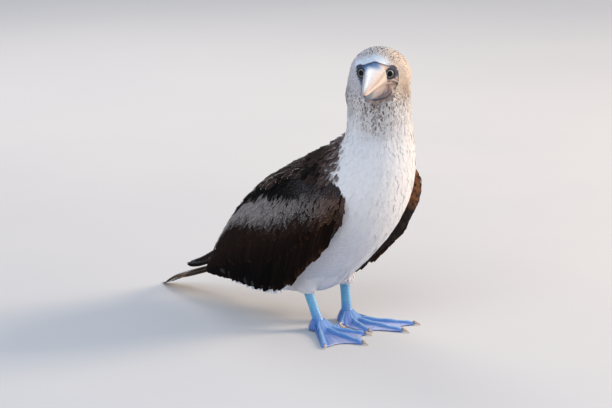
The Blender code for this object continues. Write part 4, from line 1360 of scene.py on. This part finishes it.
def make_tail(rng):
    """The closed wedge of tail feathers: pale in the middle, brown at the sides, white at the tip."""
    rows = smooth_rows(TAIL_ROWS, 120)
    steps = 26
    share = np.linspace(0, 1, steps)
    paths, lines, wides, ground, fringe, shaft, charts = [], [], [], [], [], [], []
    for k in sorted(range(-6, 7), key=lambda n: -abs(n)):
        reach = 1 - 0.0125 * abs(k) ** 1.75
        ahead = TAIL_ROOT - (TAIL_ROOT - TAIL_TIP) * reach * share
        half = np.interp(-ahead, -rows[:, 0], rows[:, 2])
        up = np.interp(-ahead, -rows[:, 0], rows[:, 1])
        left = k / 6 * (half - 4.5).clip(0.3) * (0.5 + 0.5 * ease(0, 0.4, share))
        across = np.clip(left / np.maximum(half, 1), -1, 1)
        dome = 4 * np.minimum(1, half / 15) * (1 - across ** 2) * np.minimum(1, up / 12)
        lift = 1.5 - 0.3 * abs(k)
        height = np.maximum(up + dome + lift * np.minimum(1, up / 8 + 0.15), 0.9 - 0.05 * abs(k))
        paths.append(np.column_stack([ahead, left, height]))
        lines.append(unit(np.column_stack([np.full(steps, 0.25), across * 0.5, np.ones(steps)])))
        wide = (5.0 + 2.6 * ease(0.1, 0.6, share)) * flight_widths(share, 0.8)
        wides.append(wide * np.clip(0.45 + half / 26, 0, 1))
        pale = float(ease(2.4, 0.6, abs(k)))
        streak = 0.8 * float(abs(k) in (2, 4, 6)) * ease(0.1, 0.35, share)
        base = paint(
            hue(84, 64, 54), (TAIL_WHITE, pale * 0.95), (hue(26, 18, 15), streak),
            (hue(150, 112, 80), 0.5 * ease(0.5, 1.0, share) * (1 - pale) * (streak < 0.3)),
            (hue(240, 234, 226), ease(0.93, 1.0, share) * (abs(k) < 4)))
        ground.append(base)
        edge = TAN if abs(k) > 2 else TAIL_WHITE
        fringe.append(blend(base, edge, 0.7 if abs(k) > 2 else 0.4))
        shaft.append(blend(base, hue(210, 190, 160), 0.7 if abs(k) > 1 else 0.1))
        charts.append((0.5 + 0.07 * k, 0.5))
    count = len(paths)
    colours = {"Ground": np.array(ground), "Fringe": np.array(fringe), "Shaft": np.array(shaft)}
    shares = np.broadcast_to(share, (count, steps))
    feather_piece("tail_feathers", TAIL_COAT, np.array(paths), np.array(lines),
                  np.array(wides), shares, colours, np.array(charts), rng, FLIGHT_SECTION)


# Head pieces.

def make_bill():
    """Both mandibles, with a side groove, a flattened culmen and pinched cutting edges."""
    steps, around = 70, 28
    for upper in (True, False):
        rows = smooth_rows(BILL_ROWS, steps)
        rings, ground, along_all, around_all = [], [], [], []
        for n, (forward, culmen, gape, under, half) in enumerate(rows):
            t = n / (steps - 1)
            outer = culmen if upper else under
            inner = gape + 0.15 if upper else gape - 0.15
            wide = half if upper else half * 0.9
            angle = np.linspace(0, math.pi, around)
            groove = hill(np.sin(angle), 0.52, 0.075) * ease(0.0, 0.06, t) * ease(0.92, 0.7, t)
            depth = (0.62 if upper else 0.35) * groove * min(1, half / 8)
            lip = 0.3 * hill(np.sin(angle), 0, 0.12) * min(1, half / 6)
            round_off = 0.68 + 0.26 * float(ease(27, 66, forward))
            width = np.sign(np.cos(angle)) * np.abs(np.cos(angle)) ** round_off * (wide - depth + lip)
            rise = inner + (outer - inner) * np.sin(angle) ** (round_off if upper else 0.9)
            rise = rise - np.sign(outer - inner) * depth * 0.6
            ring = np.column_stack([np.full(around, forward), width, rise])
            swell = (0.5 if upper else -0.5) * np.sin(angle[1:-1]) * min(1, half / 6)
            level = np.linspace(-wide, wide, around)[1:-1] * 0.96
            flat = np.column_stack([np.full(around - 2, forward), level, inner + swell])
            rings.append(head_to_bird(np.vstack([ring, flat])))
            top = np.concatenate([np.sin(angle), np.zeros(around - 2)])
            side = np.concatenate([np.cos(angle), np.zeros(around - 2)])
            if upper:
                slate = ease(50, 34, forward + 6 * (1 - top)) * ease(0.85, 0.1, side)
                lit = hill(top, 0.24, 0.1) * ease(0.1, 0.5, side) * ease(0.0, 0.2, t)
                seen = np.concatenate([groove, np.zeros(around - 2)])
                # Painted light: a white highlight along the top, warm tan on the left side and a peach
                # highlight band above its cutting edge; the slate at the base is the bill's own, and its
                # reach down the right side but not the left is painted shade.
                base = paint(
                    hue(214, 204, 198),
                    (hue(240, 238, 240), ease(0.55, 0.95, top) * ease(1.0, 0.4, t)),
                    (hue(204, 170, 146), 0.55 * ease(-0.1, 0.7, side) * ease(0.0, 0.35, t)),
                    (hue(116, 148, 186), 0.92 * slate),
                    (hue(250, 220, 198), 0.6 * lit),
                    (hue(198, 152, 124), 0.5 * ease(0.75, 1.0, t)),
                    # Painted shade in the side groove.
                    (hue(120, 112, 116), 0.5 * seen))
            else:
                base = paint(
                    hue(164, 152, 152),
                    (hue(80, 98, 116), ease(84, 108, forward)),
                    (hue(206, 178, 160), 0.6 * ease(0.6, 0.1, top) * ease(100, 70, forward)),
                    (hue(150, 146, 156), 0.5 * ease(0.2, 0.02, t)))
            # Painted shade along the cutting edges and over the inner faces, where the mandibles meet.
            edge = np.concatenate([hill(np.sin(angle), 0, 0.09), np.ones(around - 2)])
            base = blend(base, hue(74, 66, 70), 0.55 * edge)
            ground.append(base)
            along_all.append(np.full(len(top), t))
            around_all.append(np.concatenate([angle / math.pi, np.linspace(1, 2, around - 2)]))
        marks = marks_of(np.vstack(ground), 0.72, WHITE, Along=np.concatenate(along_all),
                         Around=np.concatenate(around_all))
        name = "bill_top" if upper else "bill_bottom"
        piece = tube(name, np.array(rings), BILL_HORN, marks)
        place_piece(piece, ["bill_upper" if upper else "bill_lower"], crease=60)


def eye_frame(sign):
    """Centre of an eye, where it looks, and two ways across that."""
    gaze = eye_gaze(sign)
    over = np.array([0.0, 0.0, 1.0])
    across = np.cross(over, gaze)
    across /= np.linalg.norm(across)
    return eye_centre(sign), gaze, across, np.cross(gaze, across)


EYEBALL_RADIUS = 7.9
CORNEA_RISE = 0.45
CORNEA_ANGLE = math.radians(36)
LID_RADIUS = 8.05
LID_INSIDE = 7.2
# Half angle of the opening between the lids, seen from the middle of the eye, in degrees.
LID_OPENING = 37.5
# The lids outwards from the opening: how high they stand, and how pale they are. Over the dark skin of the
# eye ring the paleness follows the folds, with painted highlight on their ridges and painted shade in their
# troughs; further out it grows paler towards the face.
LID_PROFILE = ((0, -0.25), (0.5, 0.35), (1.6, 0.75), (3.2, 0.8), (4.6, 0.45), (6.0, 0.3), (8.0, 0.75),
               (10.5, 0.85), (13, 0.5), (16, 0.55), (19, 0.4), (22, 0.25), (25.5, 0.18), (29, 0.12),
               (33, 0.03))
LID_SHADES = ((0, 0.05), (0.5, 0.08), (1.6, 0.2), (3.2, 0.4), (4.6, 0.15), (6, 0.1), (8, 0.45), (10.5, 0.55),
              (13, 0.25), (16, 0.3), (19, 0.4), (22, 0.6), (25.5, 0.8), (29, 1))


def make_eyes(shell):
    """Each eyeball with its domed cornea, and the ring of its lids."""
    around = 64
    turns = full_turn(around)
    for side, sign in SIDES:
        centre, gaze, across, over = eye_frame(sign)
        angles = np.radians(np.concatenate([np.linspace(0.6, 44, 34), np.linspace(48, 179, 26)]))
        bulge = EYEBALL_RADIUS + CORNEA_RISE * np.clip(1 - (angles / CORNEA_ANGLE) ** 2, 0, 1)
        look = gaze * math.cos(IRIS_TURN) + across * (sign * math.sin(IRIS_TURN))
        level = across * math.cos(IRIS_TURN) - gaze * (sign * math.sin(IRIS_TURN))
        wheel = np.cos(turns)[:, None] * level + np.sin(turns)[:, None] * over
        rings = centre + bulge[:, None, None] * (np.cos(angles)[:, None, None] * look
                                                  + np.sin(angles)[:, None, None] * wheel[None])
        marks = {"Along": np.repeat(angles / (math.pi / 2), around),
                 "Around": np.tile(np.abs(turns / math.pi - 1), len(angles))}
        piece = tube("eyeball_" + side, rings, EYE, marks)
        place_piece(piece, ["eye_" + side])

        fine = 192
        turns_fine = full_turn(fine)
        spoke = np.cos(turns_fine)[:, None] * across + np.sin(turns_fine)[:, None] * over
        opening = LID_OPENING - 3.0 * np.abs(np.sin(turns_fine)) ** 2 + 2.0 * np.abs(np.cos(turns_fine)) ** 6
        steps = np.concatenate([np.linspace(0, 6, 13), np.linspace(6.6, 33, 45)])
        rings = []
        for step, rise in zip(steps, read_line(LID_PROFILE, steps)):
            angle = np.radians(opening + step * 1.25)[:, None]
            folded = float(ease(2, 5, step) * ease(24, 14, step))
            crease = 1 + 0.35 * np.sin(turns_fine * 23 + step)[:, None] * folded
            ways = np.cos(angle) * gaze + np.sin(angle) * spoke
            found = [shell.ray_cast(Vector(centre), Vector(way), 24)[3] or 12.0 for way in ways]
            reach = np.maximum(np.array(found)[:, None], LID_RADIUS + 0.05)
            share = ease(6, 27, step)
            radius = (LID_RADIUS * (1 - share) + reach * share) + rise * crease
            ring = centre + radius * ways
            outside = ease(2.4, 1.0, face_inset(ring))[:, None] * share
            rings.append(ring - 2.6 * outside * ways)
        for step, rise in reversed(LID_PROFILE[2:8]):
            angle = np.radians(opening + step * 1.25 + 3)[:, None]
            rings.append(centre + (LID_INSIDE + rise * 0.3) * (np.cos(angle) * gaze + np.sin(angle) * spoke))
        rings = np.array(rings)
        loop = np.concatenate([rings, rings[:1]])
        faces = rings_to_faces(len(loop), fine)[: (len(loop) - 1) * fine]
        faces = faces % (len(rings) * fine)
        shade = np.zeros(len(rings))
        shade[:len(steps)] = read_line(LID_SHADES, steps)
        outer = np.zeros((len(rings), fine))
        nasal = np.clip(spoke @ turn_from_head((0, -sign, 0))[0], 0, 1)[None, :]
        outer[:len(steps)] = ease(0, 1, (steps[:, None] - 13 + 9 * nasal) / (11 - 5 * nasal))
        # The lids' dark skin, paler on the ridges of their folds as painted highlight and darker in the
        # troughs as painted shade.
        own = blend(hue(18, 20, 30), hue(110, 118, 140), np.repeat(shade, fine))
        ground = blend(own, face_hues(rings.reshape(-1, 3)), outer.ravel())
        flip = np.cross(rings[3, 1] - rings[3, 0], rings[4, 0] - rings[3, 0]) @ (rings[3, 0] - centre) < 0
        lids = mesh_of("lids_" + side, rings.reshape(-1, 3), faces[:, ::-1] if flip else faces, SKIN,
                       marks_of(ground, 0.6, SLATE_PALE))
        place_piece(lids)


# Legs and feet.

# The share of its solid's width that a leg keeps, and how many scales run down its front.
LEG_SLIM = 0.97
LEG_SCALES = 11.5


def make_legs():
    """The bare legs, scaled in front, with a swollen upper joint."""
    steps, around = 90, 40
    for side, sign in SIDES:
        top = np.array([ANKLE[side][0], sign * ANKLE[side][1], LEG_TOP_UP + 5])
        foot = np.array([TOE_JOINT[side][0], sign * TOE_JOINT[side][1], FOOT_TOP_UP - 3])
        sizes = smooth_rows(LEG_SIZES, 40)
        t = np.linspace(0, 1, steps)
        angle = full_turn(around)
        long = np.interp(t, sizes[:, 0], sizes[:, 1]) * LEG_SLIM
        wide = np.interp(t, sizes[:, 0], sizes[:, 2]) * LEG_SLIM
        middle = foot + (top - foot) * t[:, None]
        front = ease(0.2, 0.9, np.cos(angle))
        scute = np.abs((t[:, None] * LEG_SCALES + 0.15 * np.cos(angle * 2)) % 1 - 0.5) * 2
        relief = 0.32 * (1 - ease(0.7, 1.0, scute)) * front[None, :]
        relief = relief - 0.25 * hill(np.abs(np.sin(angle)), 0.8, 0.14)[None, :]
        rings = np.stack([
            middle[:, None, 0] + (long[:, None] + relief) * np.cos(angle)[None],
            middle[:, None, 1] + (wide[:, None] + relief) * np.sin(angle)[None],
            np.broadcast_to(middle[:, None, 2], (steps, around))], -1)
        seam = ease(0.72, 1.0, scute) * front[None, :]
        # A painted highlight makes the front of the leg paler.
        ground = paint(hue(92, 182, 222), (hue(78, 148, 220), ease(0.5, 0.05, np.repeat(t, around))),
                       (ICE, 0.3 * np.tile(front, steps)), (COBALT, 0.35 * seam.ravel()))
        piece = tube("leg_" + side, rings, LEG_SKIN, marks_of(ground, 0.62, ICE, 0.6))
        place_piece(piece, ["tarsus_" + side])


HUB_RADIUS = 8.4
HEEL_RADIUS = 12
HEEL_TOP = 4.5
HEEL_SLOPE = 2.4
KNUCKLE_SLOPE = 0.75
TOE_HALF_WIDTH = 4.2
TOE_SPREAD_REACH = 26
TOE_HEIGHT = 7.4
TOE_TIP_ROUND = 2.2
TOE_SHARES = (-1, -0.9, -0.72, -0.48, -0.24, 0, 0.24, 0.48, 0.72, 0.9, 1)
WEB_SHARES = np.linspace(0, 1, 16)[1:-1]
WEB_DIP = 0.15
WEB_DIP_POWER = 0.7


def toe_edge(side, toe, reach, share):
    """Bearing of a point at some share of a toe's width, closing up near the joint."""
    bearing = math.radians(TOES[toe][2][side])
    return bearing - math.atan2(share * TOE_HALF_WIDTH, reach) * min(1, reach / TOE_SPREAD_REACH)


def foot_place(side, kind, first, second, share, along):
    """Bearing, reach, top height, sole height and colour shares at one place of a foot."""
    length, next_length = TOES[first][1], TOES[second][1]
    hub = HUB_RADIUS
    fold_shade = ridge_highlight = 0.0
    if kind == "toe":
        reach = hub + (length - TOE_TIP_ROUND * share ** 2 - hub) * along
        bearing = toe_edge(side, first, reach, share)
        joints = 1 + 0.07 * math.cos(reach * 2 * math.pi / (length / 3.3))
        size = (1 - 0.38 * along) * joints * (1 - 0.28 * max(0, along - 0.9) * 10)
        scute = abs((reach / 2.1) % 1 - 0.5) * 2
        back = TOE_HEIGHT * size * math.sqrt(max(0, 1 - share ** 2))
        top = max(2.5, back - 0.28 * (scute > 0.82) * (abs(share) < 0.7))
        sole = 0 if abs(share) < 1 else 1
        ridge_highlight = max(0.0, 1 - abs(share) / 0.8)
    elif kind == "web":
        sag = math.sin(math.pi * share)
        tip = (length * (1 - share) + next_length * share) * (1 - WEB_DIP * sag ** WEB_DIP_POWER)
        reach = hub + (tip - hub) * along
        bearing = toe_edge(side, first, reach, 1) * (1 - share) + toe_edge(side, second, reach, -1) * share
        wave = 0.35 * math.sin(share * 17 + along * 3) * sag * min(1, along * 2)
        wrinkle = 0.12 * math.sin(reach * 1.5 + 4 * math.sin(share * 9))
        top = 2.7 - 0.7 * sag + wave + wrinkle - 0.9 * max(0.0, (along - 0.93) / 0.07) ** 2
        sole = 1
        fold_shade = math.exp(-(min(share, 1 - share) / 0.1) ** 2)
    else:
        reach = hub + (HEEL_RADIUS - hub) * along
        start = toe_edge(side, first, reach, 1)
        end = toe_edge(side, second, reach, -1) - 2 * math.pi
        bearing = start * (1 - share) + end * share
        top = HEEL_TOP
        sole = 1
    slope = HEEL_SLOPE if kind == "heel" else KNUCKLE_SLOPE
    knuckle = FOOT_TOP_UP - (reach - hub) * slope
    return bearing, reach, max(top, knuckle), sole, fold_shade, ridge_highlight


def foot_hue(kind, share, along, fold_shade, ridge_highlight):
    """Colour of a place on a foot: paler on the ridges of the toes as a painted highlight, darker in the
    folds beside them as painted shade.
    """
    if kind == "toe":
        return paint(hue(66, 128, 212), (hue(178, 212, 248), 0.1 + 0.8 * ridge_highlight ** 1.3),
                     (TURQUOISE, 0.3 * (1 - along)))
    if kind == "heel":
        return blend(COBALT, LAVENDER, 0.4)
    return paint(LAVENDER, (hue(160, 178, 232), 0.25 + 0.35 * math.sin(along * 5 + share * 7)),
                 (hue(62, 112, 200), 0.8 * fold_shade),
                 (hue(206, 204, 236), 0.4 * (1 - fold_shade) * ease(0.35, 1.0, along)))


def make_feet():
    """Webbed feet with jointed, scaled toes, pleated webs between them and flat soles."""
    columns = []
    for k in range(len(TOES)):
        columns += [("toe", k, k, share) for share in TOE_SHARES]
        if k + 1 < len(TOES):
            columns += [("web", k, k + 1, share) for share in WEB_SHARES]
    columns += [("heel", len(TOES) - 1, 0, share) for share in WEB_SHARES]
    tops = np.concatenate([np.linspace(0, 0.9, 64), np.linspace(0.91, 1, 9)])
    for side, sign in SIDES:
        x, y = TOE_JOINT[side]
        rings, ground = [], []
        for along, on_top in [(t, True) for t in tops] + [(t, False) for t in (1, 0.5, 0)]:
            ring = []
            for kind, first, second, share in columns:
                bearing, reach, top, sole, fold_shade, ridge_highlight = foot_place(side, kind, first, second, share, along)
                high = top if on_top else sole
                if on_top and along == 1 and kind == "toe":
                    high = max(sole + 0.6, top * 0.55)
                spot_ahead = x + reach * math.cos(bearing)
                spot_left = sign * (y + reach * math.sin(bearing))
                ring.append((spot_ahead, spot_left, max(high, 0)))
                base = foot_hue(kind, share, along, fold_shade, ridge_highlight)
                # Painted shade: the underside is a darker copy of the top's colours.
                ground.append(base if on_top else base * 0.6)
            rings.append(ring)
        marks = marks_of(np.array(ground), 0.6, ICE)
        rings = np.array(rings)
        count, around = rings.shape[:2]
        rings = rings.reshape(-1, 3)
        faces = rings_to_faces(count, around)[: (count - 1) * around]
        rim = len(rings)
        hub = np.array([[x, sign * y, FOOT_TOP_UP], [x, sign * y, 1.0]])
        rings = np.vstack([rings, hub])
        for key in marks:
            marks[key] = np.vstack([marks[key], marks[key][:1], marks[key][-1:]])
        ring = np.arange(0, around - 1, 2)
        cap = np.stack([ring, ring + 1, (ring + 2) % around, np.full(len(ring), rim)], -1)
        low = np.stack([ring, ring + 1, (ring + 2) % around], -1) + (count - 1) * around
        low = np.column_stack([low, np.full(len(ring), rim + 1)])
        if around % 2:
            raise ValueError("a foot needs an even number of spokes")
        low[:, 2] = np.where(ring + 2 >= around, (count - 1) * around, low[:, 2])
        faces = np.vstack([faces, cap[:, ::-1], low])
        if sign < 0:
            faces = faces[:, ::-1]
        piece = mesh_of("webbed_foot_" + side, rings, faces, LEG_SKIN, marks)
        place_piece(piece, ["foot_" + side], crease=70)


CLAW_ROOT_UP = 2.8
CLAW_BURIED = 1.5
CLAW_RADIUS = 2.25
CLAW_TIP_RADIUS = 0.18


def make_claws():
    """Small hooked claws, dark at the root and pale towards the point."""
    steps, around = 16, 14
    for side, sign in SIDES:
        for toe, length, bearings in TOES:
            turn = math.radians(bearings[side])
            way = np.array([math.cos(turn), sign * math.sin(turn), 0])
            across = np.array([-way[1], way[0], 0])
            start = np.array([TOE_JOINT[side][0], sign * TOE_JOINT[side][1], CLAW_ROOT_UP])
            start = start + way * (length - CLAW_BURIED)
            rings, ground = [], []
            for t in np.linspace(0, 1, steps):
                radius = CLAW_RADIUS * (1 - t) ** 0.62 + CLAW_TIP_RADIUS
                drop = np.array([0, 0, 1.2 * t - 3.4 * t ** 2])
                middle = start + way * (CLAW_LENGTH[toe] + CLAW_BURIED) * t + drop
                angle = full_turn(around)
                ring = middle + across * (radius * 0.78 * np.cos(angle))[:, None]
                ring[:, 2] = np.maximum(ring[:, 2] + radius * np.sin(angle), 0.1)
                rings.append(ring)
                base = blend(hue(104, 104, 122), hue(212, 190, 172), ease(0.0, 0.4, t))
                ground.append(np.tile(base, (around, 1)))
            ground = np.vstack(ground)
            marks = {"Ground": ground, "Shaft": ground * 0.7, "Fringe": ground * 1.1,
                     "Along": np.repeat(np.linspace(0, 1, steps), around),
                     "Around": np.tile(np.linspace(0, 1, around), steps)}
            piece = tube("claw_" + side + "_" + toe, np.array(rings), CLAW_HORN, marks)
            place_piece(piece, ["claw_" + toe + "_" + side])


# Stage.

FLOOR_HALF = 6
SKY_COLOUR = (0.75, 0.86, 1.04, 1)
SKY_STRENGTH = 0.545
# Lamps: name, place in metres, size, power and colour.
LAMPS = (
    ("key", (2.6, -1.8, 1.4), 1.2, 121, (1.0, 0.80, 0.59)),
    ("fill", (-1.6, -1.0, 1.6), 1.6, 19, (0.84, 0.93, 1.06)),
    ("back", (0.9, 1.5, 1.3), 1.0, 12, (1.0, 0.92, 0.84)),
)
# What the camera looks at (ahead, left, up), the way it looks in the frame's own axes, and how far off it is.
LOOK_AT = (-22.9, -22.9, 150.4)
CAMERA_WAY = (0.689, 0.689, -0.225)
CAMERA_DISTANCE = 5
LENS_MM = 245


def make_stage():
    """A plain pale floor, soft lights and the camera."""
    mesh = bpy.data.meshes.new("floor")
    corners = [(x * FLOOR_HALF, y * FLOOR_HALF, 0) for x, y in ((-1, -1), (1, -1), (1, 1), (-1, 1))]
    mesh.from_pydata(corners, [], [(0, 1, 2, 3)])
    finish = Finish("floor_finish", Roughness=0.9)
    speck = finish.noise(finish.place(), 3.0, 2.0)
    finish.colour(finish.mix(hue(206, 206, 208), hue(214, 213, 212), speck))
    mesh.materials.append(finish.material)
    floor = put_in_scene("floor", mesh)

    world = bpy.data.worlds.new("studio")
    world.use_nodes = True
    sky = world.node_tree.nodes["Background"].inputs
    sky["Color"].default_value = SKY_COLOUR
    sky["Strength"].default_value = SKY_STRENGTH
    bpy.context.scene.world = world

    target = to_world(LOOK_AT)[0]
    for name, place, size, power, colour in LAMPS:
        light = bpy.data.lights.new(name, "AREA")
        light.size = size
        light.energy = power
        light.color = colour
        lamp = put_in_scene(name, light)
        lamp.location = place
        lamp.rotation_euler = (Vector(target) - Vector(place)).to_track_quat("-Z", "Y").to_euler()

    lens = bpy.data.cameras.new("camera")
    lens.lens = LENS_MM
    lens.sensor_width = 36
    lens.clip_end = 50
    camera = put_in_scene("camera", lens)
    way = Vector(CAMERA_WAY).normalized()
    camera.location = Vector(target) - way * CAMERA_DISTANCE
    camera.rotation_euler = way.to_track_quat("-Z", "Y").to_euler()
    bpy.context.scene.camera = camera
    bpy.context.scene.view_settings.view_transform = "Standard"


# Making.

SHEETS = {sign: WingSheet(sign) for sign in (-1, 1)}
WING_TREES = {-1: node_tree(["wing_right"]), 1: node_tree(["wing_left"]),
              0: node_tree([name for name in FLESH if not name.startswith("wing")])}
skin_mesh, skin_shell = make_skin()
add_marks(skin_mesh, skin_marks(skin_mesh))
skin_mesh.materials.clear()
skin_mesh.materials.append(SKIN)
skin_mesh.shade_smooth()
place_piece(put_in_scene("body_skin", skin_mesh), FLESH)

skin_ground = Ground(skin_mesh)
make_coat(skin_ground)
feather_luck = np.random.default_rng(SEED + 1)
for side_name, side_sign in SIDES:
    make_flight(side_name, side_sign, feather_luck)
    make_primaries(side_name, side_sign, feather_luck)
make_tail(feather_luck)
make_bill()
make_eyes(skin_shell)
make_legs()
make_feet()
make_claws()
make_stage()
